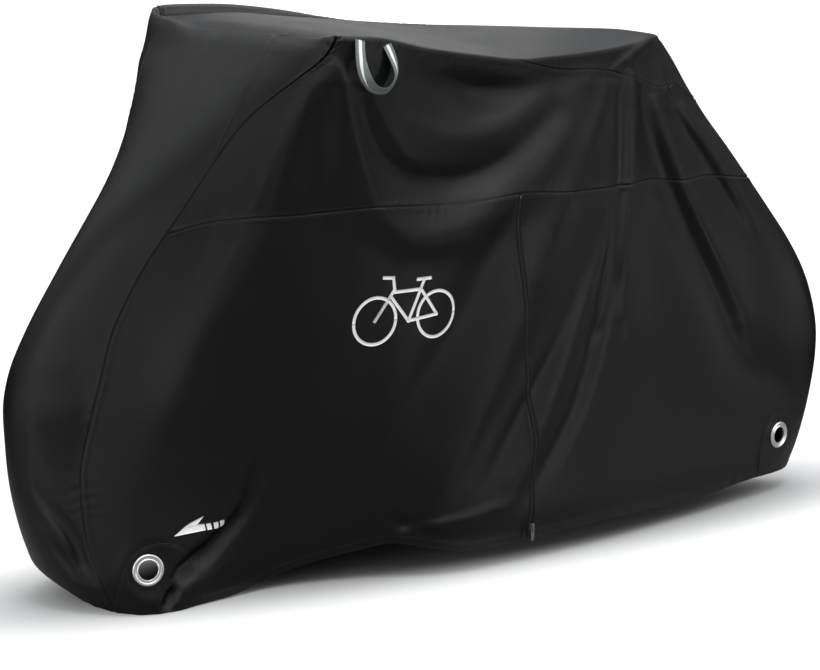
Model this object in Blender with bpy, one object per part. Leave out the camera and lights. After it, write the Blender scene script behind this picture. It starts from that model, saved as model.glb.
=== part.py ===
"""Bicycle cover: a fitted, hollow cover of coated cloth, in the shape it hangs in over a bicycle.

Lengths are in metres. X runs from the front wheel to the rear wheel, the left side of the bicycle is
at -Y, and heights are above the floor that the wheels stand on. The cloth hangs from the two ends of
the handlebar, over the saddle and down round both wheels. It is sewn from a front strip, a narrow
gore at each shoulder, a top panel, and an upper and a lower side panel on each side. The left lower
side is in two halves, which a zip joins. The origin of the finished part is on the underside of the
top panel, in the middle of the length.
"""

import math

import bmesh
import bpy
import numpy as np

# ---------------------------------------------------------------- driving dimensions
CLOTH = 0.0015  # thickness of the coated cloth, its seam allowances counted in
SEAM_GAP = 0.0005  # between two pieces that are sewn together
LEFT, RIGHT = -1, 1

BAR_X = -0.42  # the ends of the handlebar, where the shoulders hang
TOP_REAR_X = 0.605  # the top panel ends here, behind the saddle
ZIP_TOP_X = 0.026
MOUNT_X = 0.03  # the middle of the length

# The cover seen from the side, on its centre line.
FRONT_OUTLINE = (  # height, x
    (0.00, -0.785),
    (0.03, -0.824),
    (0.06, -0.855),
    (0.10, -0.873),
    (0.16, -0.891),
    (0.22, -0.903),
    (0.30, -0.910),
    (0.39, -0.909),
    (0.44, -0.896),
    (0.50, -0.868),
    (0.60, -0.808),
    (0.70, -0.738),
    (0.80, -0.659),
    (0.90, -0.582),
    (1.00, -0.505),
    (1.06, -0.460),
)
REAR_OUTLINE = (  # height, x
    (0.047, 0.886),
    (0.08, 0.905),
    (0.15, 0.932),
    (0.22, 0.950),
    (0.29, 0.961),
    (0.35, 0.961),
    (0.42, 0.945),
    (0.49, 0.915),
    (0.56, 0.869),
    (0.63, 0.812),
    (0.70, 0.753),
    (0.77, 0.693),
    (0.84, 0.630),
    (0.90, 0.583),
    (0.96, 0.541),
    (1.00, 0.508),
)

# Half of the cover's width at four heights, before its front and rear are rounded off.
WIDTH_HEIGHTS = (0.02, 0.35, 0.72, 0.96)
HALF_WIDTHS = (  # x, at the hem, at the wheels' axles, at the waist seam, at the shoulder
    (-0.80, 0.190, 0.126, 0.165, 0.360),
    (-0.70, 0.188, 0.158, 0.190, 0.368),
    (-0.60, 0.165, 0.185, 0.245, 0.374),
    (-0.50, 0.152, 0.208, 0.300, 0.378),
    (-0.42, 0.158, 0.232, 0.318, 0.374),
    (-0.30, 0.182, 0.245, 0.305, 0.345),
    (-0.15, 0.250, 0.255, 0.268, 0.278),
    (0.05, 0.250, 0.240, 0.225, 0.205),
    (0.25, 0.225, 0.200, 0.168, 0.138),
    (0.45, 0.175, 0.148, 0.110, 0.082),
    (0.60, 0.135, 0.118, 0.082, 0.060),
    (0.80, 0.082, 0.088, 0.062, 0.050),
    (0.96, 0.060, 0.062, 0.050, 0.050),
)
FRONT_ROUNDING = (  # height, how far back the front goes on widening
    (0.00, 0.050),
    (0.15, 0.090),
    (0.35, 0.120),
    (0.70, 0.120),
    (0.90, 0.070),
    (1.00, 0.030),
    (1.06, 0.015),
)
REAR_ROUNDING = 0.055

# The rim, where the sides turn over into the top. It sags lower on the left side.
RIM = (  # x, height on the left, height on the right
    (-0.47, 1.043, 1.043),
    (-0.42, 1.036, 1.049),
    (-0.33, 1.030, 1.052),
    (-0.23, 1.011, 1.049),
    (-0.15, 1.000, 1.045),
    (-0.05, 0.988, 1.037),
    (0.05, 0.978, 1.031),
    (0.13, 0.980, 1.029),
    (0.23, 0.983, 1.026),
    (0.31, 0.988, 1.023),
    (0.38, 0.995, 1.020),
    (0.44, 1.004, 1.014),
    (0.49, 1.006, 1.007),
)
RIM_ROUNDING = (  # x, radius on the left and on the right, share of it that is below the rim on each
    (-0.10, 0.012, 0.036, 0.70, 0.90),
    (0.15, 0.012, 0.030, 0.70, 0.85),
    (0.45, 0.012, 0.012, 0.70, 0.70),
)
RIM_ROUNDING_MOST = 0.6  # share of half the width that the rounding may take
CROWN = (  # x, how far the top panel bows up between its rims
    (-0.47, 0.004),
    (-0.38, 0.014),
    (-0.25, 0.012),
    (-0.10, 0.004),
    (0.05, 0.000),
    (0.20, 0.003),
    (0.35, 0.006),
    (0.46, 0.007),
    (0.50, 0.003),
    (0.53, 0.000),
)
# The right-hand grip lifts the cloth beyond the seam.
GRIP_LUMP = {"lift": 0.042, "below_rim": 0.014, "reach": 0.022, "seam_fade": 0.007}
GRIP_LUMP_RISES, GRIP_LUMP_FALLS = (-0.54, -0.40), (-0.30, 0.03)  # from x to x
# The handlebar is turned a little, with its right end forward, and the cloth over it follows.
BAR_TURN = 0.032
BAR_TURN_RISES, BAR_TURN_FALLS = (0.72, 1.0), (-0.38, 0.05)  # from height to height, and from x to x
BAR_HALF_LENGTH = 0.36

# The seams.
HEM = (  # x, height
    (-0.80, 0.003),
    (-0.60, 0.002),
    (-0.54, 0.004),
    (-0.49, 0.014),
    (-0.44, 0.033),
    (-0.38, 0.048),
    (-0.30, 0.064),
    (-0.24, 0.077),
    (-0.17, 0.066),
    (-0.10, 0.052),
    (0.00, 0.050),
    (0.14, 0.053),
    (0.30, 0.051),
    (0.45, 0.044),
    (0.58, 0.040),
    (0.70, 0.048),
    (0.86, 0.047),
)
FRONT_SEAM = (  # height, x
    (0.003, -0.761),
    (0.04, -0.780),
    (0.11, -0.803),
    (0.18, -0.811),
    (0.27, -0.808),
    (0.34, -0.791),
    (0.43, -0.766),
    (0.51, -0.742),
    (0.575, -0.712),
    (0.64, -0.679),
    (0.687, -0.653),
    (0.75, -0.620),
    (0.815, -0.586),
    (0.89, -0.540),
    (0.96, -0.482),
    (1.01, -0.436),
    (1.04, -0.420),
)
WAIST_SEAM = (  # x, height
    (-0.653, 0.687),
    (-0.60, 0.709),
    (-0.55, 0.721),
    (-0.46, 0.726),
    (-0.32, 0.733),
    (-0.23, 0.726),
    (-0.07, 0.724),
    (0.03, 0.729),
    (0.15, 0.721),
    (0.31, 0.717),
    (0.43, 0.722),
    (0.50, 0.714),
    (0.58, 0.717),
    (0.753, 0.700),
)
TOP_SEAM_DROP = (  # x, how far the top panel's left and right seams lie under the rim
    (0.04, 0.000),
    (0.10, 0.015),
    (0.16, 0.027),
    (0.25, 0.034),
    (0.31, 0.044),
    (0.38, 0.066),
    (0.48, 0.100),
    (0.55, 0.058),
    (0.605, 0.000),
)
GORE_APEX_HEIGHT = 0.815
GORE_TOP_Y = {LEFT: 0.200, RIGHT: 0.290}
TIP_GAP = 0.0012  # the tips of narrow pieces are drawn back by this
FRONT_EDGE_FADE = 0.12  # behind the handlebar the top panel's ribs are straight after this length
CORE_HALF_LENGTH, CORE_HEIGHT = 0.6, 0.5  # a line along the middle, which all the cloth faces away from
FLAP_LEAST = 0.030  # the rounded edge of the top panel, where it has no flap under the rim
ZIP_HALF_WIDTH = 0.004
ZIP_LINE = (  # height, x
    (0.05, 0.054),
    (0.15, 0.059),
    (0.23, 0.062),
    (0.34, 0.053),
    (0.46, 0.041),
    (0.56, 0.033),
    (0.73, ZIP_TOP_X),
)

# The eyelets, one at the front and one at the rear of each side. A patch of the same cloth holds each.
EYELETS = (
    {"name": "front", "x": -0.711, "height": 0.085, "half_width": 0.165, "turn": 0.30, "lean": -0.10},
    {"name": "rear", "x": 0.809, "height": 0.134, "half_width": 0.078, "turn": -0.25, "lean": 0.03},
)
RING_INSIDE, RING_OUTSIDE = 0.018, 0.0295
RING_BARREL = 0.0020  # wall of the ring's barrel, which lines the hole in the cloth
RING_FLANGE = 0.0018
RING_SEAT = 0.0003  # between the ring and the cloth it holds
RING_INNER_EDGE, RING_OUTER_EDGE = 0.0014, 0.0020  # the flange's edges are cut off at a slant this wide
RING_FLAT = (0.034, 0.065)  # the cloth is flat up to the first distance and free from the second on
PATCHES = {  # middle, half of its length, its height above the hem, how square its rounded top is
    "front": (-0.679, 0.074, 0.128, 3.0),
    "rear": (0.803, 0.058, 0.136, 3.0),
}
# The patches' cutters run from the first distance off the middle to the second, and below the hem.
CUTTER_REACH = (0.010, 0.35)
CUTTER_BELOW = 0.02

# The loop under the left end of the handlebar.
LOOP_WIDTH = 0.019
LOOP_LINE = (  # share of its length, x, height, distance off the side, turn towards standing on edge
    (0.00, -0.394, 1.026, 0.0008, 0),
    (0.15, -0.388, 1.000, 0.0090, 10),
    (0.30, -0.368, 0.970, 0.0160, 40),
    (0.42, -0.346, 0.946, 0.0190, 70),
    (0.50, -0.326, 0.934, 0.0200, 90),
    (0.60, -0.300, 0.938, 0.0200, 110),
    (0.72, -0.283, 0.960, 0.0170, 140),
    (0.86, -0.294, 0.995, 0.0100, 165),
    (1.00, -0.313, 1.019, 0.0008, 180),
)

# The zip's chain stands a little proud of the cloth. Its slider is at the bottom, with the pull hanging.
ZIP_THICKNESS = 0.0022
ZIP_PROUD = 0.0007
SLIDER_HEIGHT = 0.076
SLIDER = {"half_width": 0.0048, "half_length": 0.0075, "corner": 0.0020, "base": 0.0003, "top": 0.0027}
BRIDGE = {"half_width": 0.0012, "half_length": 0.0056, "post": 0.0015, "under": 0.0048, "top": 0.0062}
BRIDGE_SUNK = 0.0006  # the bridge's two posts start this far inside the slider
PULL = {"half_width": 0.0036, "top": -0.0008, "bottom": -0.0260, "base": 0.0031, "face": 0.0044}
PULL_WINDOW = {"wall": 0.0014, "bottom": -0.0085, "corner": 0.0006}  # the bridge runs through it
PULL_EYE = {"radius": 0.0013, "above_bottom": 0.0032}
PULL_CORNER = 0.0013

# Folds: a ridge or a trough runs along each row's line of points, seen from the side.
FOLDS = {  # each row: x, height, how wide, how far it stands out
    LEFT: (
        # from the end of the handlebar down beside the front seam
        ((-0.44, 0.98, 0.035, 0.003), (-0.47, 0.92, 0.04, 0.008), (-0.54, 0.77, 0.045, 0.010),
         (-0.58, 0.61, 0.045, 0.010), (-0.63, 0.46, 0.05, 0.008), (-0.66, 0.34, 0.05, 0.003)),
        # a trough and a ridge from the end of the handlebar down to the waist
        ((-0.42, 0.94, 0.025, -0.004), (-0.40, 0.86, 0.030, -0.010), (-0.35, 0.73, 0.035, -0.010),
         (-0.27, 0.60, 0.04, -0.003)),
        ((-0.39, 0.97, 0.025, 0.004), (-0.36, 0.86, 0.030, 0.010), (-0.29, 0.74, 0.030, 0.009),
         (-0.21, 0.65, 0.04, 0.002)),
        # the hollow under the top seam
        ((-0.21, 0.97, 0.030, -0.004), (-0.08, 0.94, 0.040, -0.014), (0.05, 0.935, 0.035, -0.008),
         (0.16, 0.93, 0.030, -0.003)),
        # the swag from under the loop, across and up to the saddle, and the ridge under it
        ((-0.33, 0.90, 0.025, -0.005), (-0.27, 0.82, 0.030, -0.010), (-0.17, 0.78, 0.030, -0.012),
         (-0.02, 0.81, 0.030, -0.010), (0.16, 0.91, 0.030, -0.005)),
        ((-0.23, 0.67, 0.040, 0.004), (-0.02, 0.745, 0.040, 0.010), (0.12, 0.83, 0.040, 0.012),
         (0.24, 0.94, 0.030, 0.005)),
        ((-0.26, 0.70, 0.030, 0.004), (-0.14, 0.695, 0.030, 0.008), (-0.02, 0.695, 0.030, 0.003)),
        # the broad diagonal trough from the saddle to the hem, and the ridge behind it
        ((0.29, 0.96, 0.030, -0.004), (0.15, 0.80, 0.045, -0.012), (0.06, 0.69, 0.050, -0.014),
         (-0.04, 0.51, 0.060, -0.014), (-0.16, 0.31, 0.060, -0.010), (-0.24, 0.16, 0.060, -0.005)),
        ((0.22, 0.81, 0.030, 0.004), (0.16, 0.70, 0.035, 0.010), (0.04, 0.50, 0.040, 0.012),
         (-0.07, 0.30, 0.040, 0.010), (-0.17, 0.12, 0.040, 0.005)),
        # the narrow trough behind that, with a ridge along its front
        ((0.33, 0.93, 0.020, -0.004), (0.32, 0.84, 0.025, -0.009), (0.28, 0.65, 0.028, -0.013),
         (0.25, 0.50, 0.030, -0.017), (0.22, 0.40, 0.030, -0.013), (0.14, 0.27, 0.030, -0.010),
         (0.07, 0.16, 0.030, -0.005)),
        ((0.20, 0.45, 0.030, 0.005), (0.11, 0.32, 0.030, 0.010), (0.03, 0.22, 0.030, 0.008),
         (-0.02, 0.12, 0.030, 0.003)),
        # the cone below the back of the saddle, and two troughs behind it
        ((0.37, 0.93, 0.030, 0.004), (0.38, 0.86, 0.035, 0.008), (0.40, 0.73, 0.045, 0.012),
         (0.41, 0.58, 0.060, 0.012), (0.43, 0.42, 0.070, 0.008), (0.45, 0.24, 0.070, 0.003)),
        ((0.45, 0.89, 0.025, -0.003), (0.47, 0.83, 0.030, -0.008), (0.51, 0.67, 0.035, -0.010),
         (0.59, 0.50, 0.040, -0.010), (0.67, 0.34, 0.050, -0.005)),
        ((0.54, 0.86, 0.020, -0.002), (0.58, 0.80, 0.025, -0.006), (0.64, 0.66, 0.030, -0.007),
         (0.71, 0.54, 0.040, -0.003)),
        ((0.72, 0.34, 0.050, -0.003), (0.80, 0.24, 0.050, -0.006)),
        # the crease over the hem, and the trough that runs to the front eyelet
        ((-0.17, 0.10, 0.025, 0.005), (-0.09, 0.12, 0.025, 0.006), (0.00, 0.12, 0.030, 0.003)),
        ((-0.49, 0.28, 0.030, -0.003), (-0.52, 0.24, 0.030, -0.007), (-0.56, 0.17, 0.030, -0.010),
         (-0.60, 0.11, 0.025, -0.006)),
    ),
    RIGHT: (
        ((-0.46, 0.96, 0.035, 0.004), (-0.52, 0.80, 0.045, 0.010), (-0.58, 0.60, 0.045, 0.010),
         (-0.64, 0.42, 0.050, 0.005)),
        ((-0.38, 0.95, 0.030, -0.005), (-0.35, 0.82, 0.035, -0.011), (-0.28, 0.66, 0.040, -0.009),
         (-0.22, 0.52, 0.045, -0.003)),
        ((-0.27, 0.96, 0.030, -0.004), (-0.12, 0.90, 0.040, -0.012), (0.06, 0.91, 0.035, -0.008),
         (0.20, 0.95, 0.030, -0.003)),
        ((-0.30, 0.86, 0.030, 0.004), (-0.14, 0.80, 0.035, 0.010), (0.05, 0.82, 0.035, 0.009),
         (0.22, 0.90, 0.030, 0.004)),
        ((0.26, 0.94, 0.030, -0.004), (0.18, 0.74, 0.045, -0.012), (0.07, 0.54, 0.055, -0.013),
         (-0.05, 0.34, 0.060, -0.010), (-0.14, 0.16, 0.060, -0.004)),
        ((0.30, 0.86, 0.030, 0.004), (0.26, 0.66, 0.040, 0.010), (0.17, 0.45, 0.045, 0.012),
         (0.08, 0.24, 0.045, 0.006)),
        ((0.36, 0.92, 0.025, -0.004), (0.37, 0.74, 0.030, -0.011), (0.34, 0.54, 0.035, -0.012),
         (0.27, 0.34, 0.040, -0.008), (0.20, 0.16, 0.040, -0.003)),
        ((0.43, 0.88, 0.030, 0.004), (0.46, 0.70, 0.045, 0.010), (0.49, 0.50, 0.060, 0.010),
         (0.52, 0.30, 0.060, 0.004)),
        ((0.52, 0.84, 0.025, -0.004), (0.58, 0.66, 0.035, -0.009), (0.66, 0.46, 0.045, -0.007),
         (0.72, 0.32, 0.050, -0.003)),
        ((-0.48, 0.30, 0.035, -0.003), (-0.54, 0.20, 0.035, -0.009), (-0.60, 0.12, 0.030, -0.005)),
        ((-0.36, 0.44, 0.050, 0.003), (-0.33, 0.28, 0.050, 0.009), (-0.32, 0.14, 0.045, 0.005)),
    ),
}

FOLD_FADE = 0.02  # the folds fade out towards the centre line at the front and rear

# How many faces each stretch gets.
COLUMNS_FRONT, COLUMNS_REAR = 20, 18
ROWS_LOWER, ROWS_WAIST_TO_APEX, ROWS_APEX_TO_RIM = 14, 3, 5
STRIP_COLUMNS, GORE_COLUMNS, FLAP_COLUMNS = 8, 3, 3
TOP_COLUMNS = STRIP_COLUMNS + 2 * GORE_COLUMNS


# ---------------------------------------------------------------- curves and surfaces
def through(rows, at, column=1):
    """The height of a soft curve through the rows, which start with their place along it."""
    places = np.array([row[0] for row in rows])
    values = np.array([row[column] for row in rows])
    slopes = np.gradient(values, places)
    at = np.clip(at, places[0], places[-1])
    i = np.clip(np.searchsorted(places, at) - 1, 0, len(places) - 2)
    step = places[i + 1] - places[i]
    t = (at - places[i]) / step
    rise = (1 + 2 * t) * (1 - t) ** 2 * values[i] + t**2 * (3 - 2 * t) * values[i + 1]
    return rise + step * t * (1 - t) * ((1 - t) * slopes[i] - t * slopes[i + 1])


def soft_step(at, start, end):
    """0 before start and 1 after end, with a soft change between."""
    t = np.clip((at - start) / (end - start), 0, 1)
    return t * t * (3 - 2 * t)


def half_width(x, height):
    """Half of the cover's width, between the table's four heights on a soft curve."""
    columns = [through(HALF_WIDTHS, x, 1 + i) for i in range(len(WIDTH_HEIGHTS))]
    places = np.array(WIDTH_HEIGHTS)
    slopes = np.gradient(np.array(columns), places, axis=0)
    low, high = places[0], places[-1]
    inside = np.clip(height, low, high)
    total = np.zeros(np.broadcast(x, height).shape)
    for i in range(len(places) - 1):
        step = places[i + 1] - places[i]
        t = (inside - places[i]) / step
        here = (t >= 0) & ((t < 1) | (i == len(places) - 2))
        rise = (1 + 2 * t) * (1 - t) ** 2 * columns[i] + t**2 * (3 - 2 * t) * columns[i + 1]
        rise = rise + step * t * (1 - t) * ((1 - t) * slopes[i] - t * slopes[i + 1])
        total = np.where(here, rise, total)
    return total


def rim_height(x, side):
    """The height at which the side turns over into the top."""
    on_rim = through(RIM, x, 1 if side == LEFT else 2)
    ridge = [row for row in REAR_OUTLINE if row[0] > 0.5][::-1]
    behind = np.interp(x, [row[1] for row in ridge], [row[0] for row in ridge])
    return np.where(x > RIM[-1][0], np.minimum(on_rim, behind), on_rim)


def share_at(x, height):
    """Where x lies between the front and the rear outline: 0 at the front and 1 at the rear."""
    front, rear = through(FRONT_OUTLINE, height), through(REAR_OUTLINE, height)
    return np.arccos(np.clip(1 - 2 * (x - front) / (rear - front), -1, 1)) / math.pi


def skirt(share, height, side):
    """Points on the front, sides and rear of the cover, for shares of its length and heights."""
    front, rear = through(FRONT_OUTLINE, height), through(REAR_OUTLINE, height)
    x = front + (rear - front) * (1 - np.cos(math.pi * share)) / 2
    behind_front, before_rear = np.maximum(x - front, 0), np.maximum(rear - x, 0)
    width = half_width(x, height)
    width = width * np.sqrt(1 - np.exp(-behind_front / through(FRONT_ROUNDING, height)))
    width = width * np.sqrt(1 - np.exp(-before_rear / REAR_ROUNDING))
    radius = through(RIM_ROUNDING, x, 1 if side == LEFT else 2)
    radius = np.minimum(radius, width * RIM_ROUNDING_MOST + 1e-6)
    below = radius * through(RIM_ROUNDING, x, 3 if side == LEFT else 4)
    over = np.clip(height - rim_height(x, side) + below, 0, below)
    width = width - radius + np.sqrt(radius**2 - over**2)
    ends = (1 - np.exp(-behind_front / FOLD_FADE)) * (1 - np.exp(-before_rear / FOLD_FADE))
    width = width + folds_at(x, height, side) * ends
    width = flat_at_eyelets(x, height, width)
    points = np.stack([x, side * width, height + 0 * x], axis=-1)
    if side == RIGHT:
        turned = soft_step(height, *BAR_TURN_RISES) * (1 - soft_step(x, *BAR_TURN_FALLS))
        points[..., 0] -= BAR_TURN * turned * np.minimum(width / BAR_HALF_LENGTH, 1)
        points[..., 2] += grip_lump(x, rim_height(x, side) - height)
    return points


def flat_at_eyelets(x, height, width):
    """The rings hold the cloth flat round the eyelets."""
    for row in EYELETS:
        plane = row["half_width"] + row["turn"] * (x - row["x"]) + row["lean"] * (height - row["height"])
        away = np.hypot(x - row["x"], height - row["height"])
        share = 1 - soft_step(away, *RING_FLAT)
        width = width + (plane - width) * share
    return width


def grip_lump(x, below_rim):
    """How far the right-hand grip lifts the cloth."""
    along_it = soft_step(x, *GRIP_LUMP_RISES) * (1 - soft_step(x, *GRIP_LUMP_FALLS))
    across = np.exp(-(((below_rim - GRIP_LUMP["below_rim"]) / GRIP_LUMP["reach"]) ** 2))
    across = across * (1 - np.exp(-np.maximum(below_rim, 0) / GRIP_LUMP["seam_fade"]))
    return GRIP_LUMP["lift"] * along_it * across


def folds_at(x, height, side):
    """How far the folds lift the cloth at these places."""
    total = np.zeros(np.broadcast(x, height).shape)
    for fold in FOLDS[side]:
        total = total + fold_lift(fold, x, height)
    return total


def fold_lift(fold, x, height, samples=24):
    """One fold: the nearest place along its line says how wide and how deep it is there."""
    ends = np.linspace(0, len(fold) - 1, samples)
    rows = [(i, *row) for i, row in enumerate(fold)]
    line_x, line_height, wide, lift = (through(rows, ends, column) for column in (1, 2, 3, 4))
    nearest = np.full(np.broadcast(x, height).shape, 1e9)
    result = np.zeros(nearest.shape)
    for i in range(samples - 1):
        run = np.array([line_x[i + 1] - line_x[i], line_height[i + 1] - line_height[i]])
        t = np.clip(((x - line_x[i]) * run[0] + (height - line_height[i]) * run[1]) / (run @ run), 0, 1)
        away = np.hypot(x - line_x[i] - t * run[0], height - line_height[i] - t * run[1])
        here_wide = wide[i] + t * (wide[i + 1] - wide[i])
        here_lift = lift[i] + t * (lift[i + 1] - lift[i])
        closer = away < nearest
        nearest = np.where(closer, away, nearest)
        result = np.where(closer, here_lift * np.exp(-((away / here_wide) ** 2)), result)
    return result


# ---------------------------------------------------------------- seam lines, as (x, height)
def stations(count, start, end, crowd_at_end=False):
    """Places from start to end. They crowd towards the end where the cloth turns round the rear."""
    t = np.linspace(0, 1, count + 1)
    t = 0.65 * np.sin(t * math.pi / 2) + 0.35 * t if crowd_at_end else t
    return start + (end - start) * t


def front_seam_x(height):
    return through(FRONT_SEAM, height)


def top_seam_height(x, side):
    return rim_height(x, side) - through(TOP_SEAM_DROP, x)


def coons(left, right, bottom, top):
    """A grid of (x, height) places that fills the outline of four lines."""
    across = sum((line[:, 0] - line[0, 0]) / (line[-1, 0] - line[0, 0]) for line in (bottom, top))
    up = sum((line[:, 1] - line[0, 1]) / (line[-1, 1] - line[0, 1]) for line in (left, right))
    across, up = across[None, :, None] / 2, up[:, None, None] / 2
    grid = (1 - across) * left[:, None] + across * right[:, None]
    grid = grid + (1 - up) * bottom[None] + up * top[None]
    corners = (1 - across) * (1 - up) * bottom[0] + across * (1 - up) * bottom[-1]
    corners = corners + (1 - across) * up * top[0] + across * up * top[-1]
    return grid - corners


def on_skirt(grid, side):
    """The (x, height) places of a grid as points on the cover."""
    return skirt(share_at(grid[..., 0], grid[..., 1]), grid[..., 1], side)


def climb():
    """Shares of the height from the gore's apex to the rim. They crowd towards the rounded rim."""
    return np.sin(np.linspace(0, math.pi / 2, ROWS_APEX_TO_RIM + 1))


def front_edge(side):
    """The front seam from the hem to the end of the handlebar, at every row of the panels beside it."""
    low, waist = FRONT_SEAM[0][0], WAIST_SEAM[0][1]
    top = float(rim_height(BAR_X, side))
    heights = np.concatenate([
        np.linspace(low, waist, ROWS_LOWER + 1),
        np.linspace(waist, GORE_APEX_HEIGHT, ROWS_WAIST_TO_APEX + 1)[1:],
        GORE_APEX_HEIGHT + (top - GORE_APEX_HEIGHT) * climb()[1:],
    ])
    x = front_seam_x(heights)
    x[-1] = BAR_X
    return np.stack([x, heights], axis=-1)


def rear_edge(low, high, rows):
    """The seam on the centre line at the rear."""
    heights = np.linspace(low, high, rows + 1)
    return np.stack([through(REAR_OUTLINE, heights), heights], axis=-1)


def along(rows, start, end, count, crowd_at_end=False):
    """A lengthwise seam or hem between two of its places."""
    x = stations(count, start[0], end[0], crowd_at_end)
    line = np.stack([x, through(rows, x)], axis=-1)
    line[0], line[-1] = start, end
    return line


def zip_edge(offset):
    """One edge of the zip, from the hem to the waist seam."""
    low = np.array([ZIP_LINE[0][1] + offset, float(through(HEM, ZIP_LINE[0][1] + offset))])
    high = np.array([ZIP_TOP_X + offset, float(through(WAIST_SEAM, ZIP_TOP_X + offset))])
    heights = np.linspace(low[1], high[1], ROWS_LOWER + 1)
    x = through(ZIP_LINE, heights) + offset
    x[0], x[-1] = low[0], high[0]
    return np.stack([x, heights], axis=-1)


def top_stations():
    """Where the top panel's ribs stand, over the columns of the upper side panels."""
    front = stations(COLUMNS_FRONT, BAR_X, ZIP_TOP_X - ZIP_HALF_WIDTH)
    rear = stations(COLUMNS_REAR, ZIP_TOP_X + ZIP_HALF_WIDTH, TOP_REAR_X, crowd_at_end=True)
    return np.concatenate([front, rear])


# ---------------------------------------------------------------- the cloth panels, as grids of points
def side_panels(side):
    """The upper and lower panels of one side; the left lower one in two halves with the zip between."""
    seam = front_edge(side)
    lower_front, upper_front = seam[: ROWS_LOWER + 1], seam[ROWS_LOWER:]
    waist_rear = np.array([WAIST_SEAM[-1][0], WAIST_SEAM[-1][1]])
    hem_rear = np.array([REAR_OUTLINE[0][1], REAR_OUTLINE[0][0]])
    before, after = zip_edge(-ZIP_HALF_WIDTH), zip_edge(ZIP_HALF_WIDTH)
    waist_front = along(WAIST_SEAM, lower_front[-1], before[-1], COLUMNS_FRONT)
    waist_back = along(WAIST_SEAM, after[-1], waist_rear, COLUMNS_REAR, crowd_at_end=True)
    waist = np.concatenate([waist_front, waist_back])
    hem_front = along(HEM, lower_front[0], before[0], COLUMNS_FRONT)
    hem_back = along(HEM, after[0], hem_rear, COLUMNS_REAR, crowd_at_end=True)
    rear = rear_edge(hem_rear[1], waist_rear[1], ROWS_LOWER)
    x = top_stations()
    top = np.stack([x, top_seam_height(x, side)], axis=-1)
    reference = front_edge(LEFT)[ROWS_LOWER:, 1]
    rise = (reference - reference[0]) / (reference[-1] - reference[0])
    heights = waist_rear[1] + (top[-1][1] - waist_rear[1]) * rise
    rear_upper = np.stack([through(REAR_OUTLINE, heights), heights], axis=-1)
    rear_upper[-1] = top[-1]
    word = "left" if side == LEFT else "right"
    panels = {f"{word}_upper_panel": on_skirt(coons(upper_front, rear_upper, waist, top), side)}
    if side == LEFT:
        front_half = coons(lower_front, before, hem_front, waist_front)
        rear_half = coons(after, rear, hem_back, waist_back)
        panels["left_lower_front_panel"] = on_skirt(front_half, side)
        panels["left_lower_rear_panel"] = on_skirt(rear_half, side)
        panels["zip_chain"] = on_skirt(np.stack([before, after], axis=1), side)
    else:
        hem = np.concatenate([hem_front, hem_back])
        panels["right_lower_panel"] = on_skirt(coons(lower_front, rear, hem, waist), side)
    return panels


def on_front(share, height):
    """Points of the skirt for signed shares: the left side's are negative."""
    left = skirt(np.abs(share), height, LEFT)
    right = skirt(np.abs(share), height, RIGHT)
    return np.where((share < 0)[..., None], left, right)


def rim_on_front(share):
    """Heights at which the front turns over into the top, for signed shares."""
    height = np.full(share.shape, 1.04)
    for _ in range(6):
        front, rear = through(FRONT_OUTLINE, height), through(REAR_OUTLINE, height)
        x = front + (rear - front) * (1 - np.cos(math.pi * np.abs(share))) / 2
        height = np.where(share < 0, rim_height(x, LEFT), rim_height(x, RIGHT))
    return height


def gore_shares(side):
    """Shares of the gore seam and the front seam at the apex, and of both at the rim."""
    seam = front_edge(side)
    apex = share_at(*seam[ROWS_LOWER + ROWS_WAIST_TO_APEX])
    end = share_at(*seam[-1])
    shares = np.linspace(0, float(end), 60)
    y = np.abs(skirt(shares, rim_on_front(side * np.maximum(shares, 1e-6)), side)[:, 1])
    return float(apex), float(np.interp(GORE_TOP_Y[side], y, shares)), float(end)


def front_panels():
    """The front strip and the two gores beside it, which share their seams' points."""
    panels = {}
    edges = {}
    for side, word in ((LEFT, "left"), (RIGHT, "right")):
        seam = front_edge(side)
        below = seam[: ROWS_LOWER + ROWS_WAIST_TO_APEX + 1]
        apex, gore_top, bar_end = gore_shares(side)
        gore_seam = apex + (gore_top - apex) * climb()
        shoulder = share_at(seam[-ROWS_APEX_TO_RIM - 1 :, 0], seam[-ROWS_APEX_TO_RIM - 1 :, 1])
        across = np.linspace(0, 1, GORE_COLUMNS + 1)
        share = gore_seam[:, None] + (shoulder - gore_seam)[:, None] * across
        share[-1] = gore_top + (bar_end - gore_top) * across
        rim = rim_on_front(side * share[-1])
        heights = GORE_APEX_HEIGHT + (rim[None] - GORE_APEX_HEIGHT) * climb()[:, None]
        heights[:, -1] = seam[-ROWS_APEX_TO_RIM - 1 :, 1]
        panels[f"{word}_gore"] = skirt(share, heights, side)
        lower_shares = share_at(below[:, 0], below[:, 1])
        edges[side] = np.concatenate([lower_shares, gore_seam[1:]])
        edges[side, "heights"] = np.concatenate([below[:, 1], heights[1:, 0]])
    across = np.linspace(0, 1, STRIP_COLUMNS + 1)
    share = -edges[LEFT][:, None] * (1 - across) + edges[RIGHT][:, None] * across
    rim = rim_on_front(share[-1])
    heights = np.repeat(edges[LEFT, "heights"][:, None], STRIP_COLUMNS + 1, axis=1)
    heights[-ROWS_APEX_TO_RIM - 1 :] = GORE_APEX_HEIGHT + (rim - GORE_APEX_HEIGHT) * climb()[:, None]
    strip = on_front(share, heights)
    strip[-ROWS_APEX_TO_RIM - 1 :, 0] = panels["left_gore"][:, 0]
    strip[-ROWS_APEX_TO_RIM - 1 :, -1] = panels["right_gore"][:, 0]
    panels["front_strip"] = strip
    return panels


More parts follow.
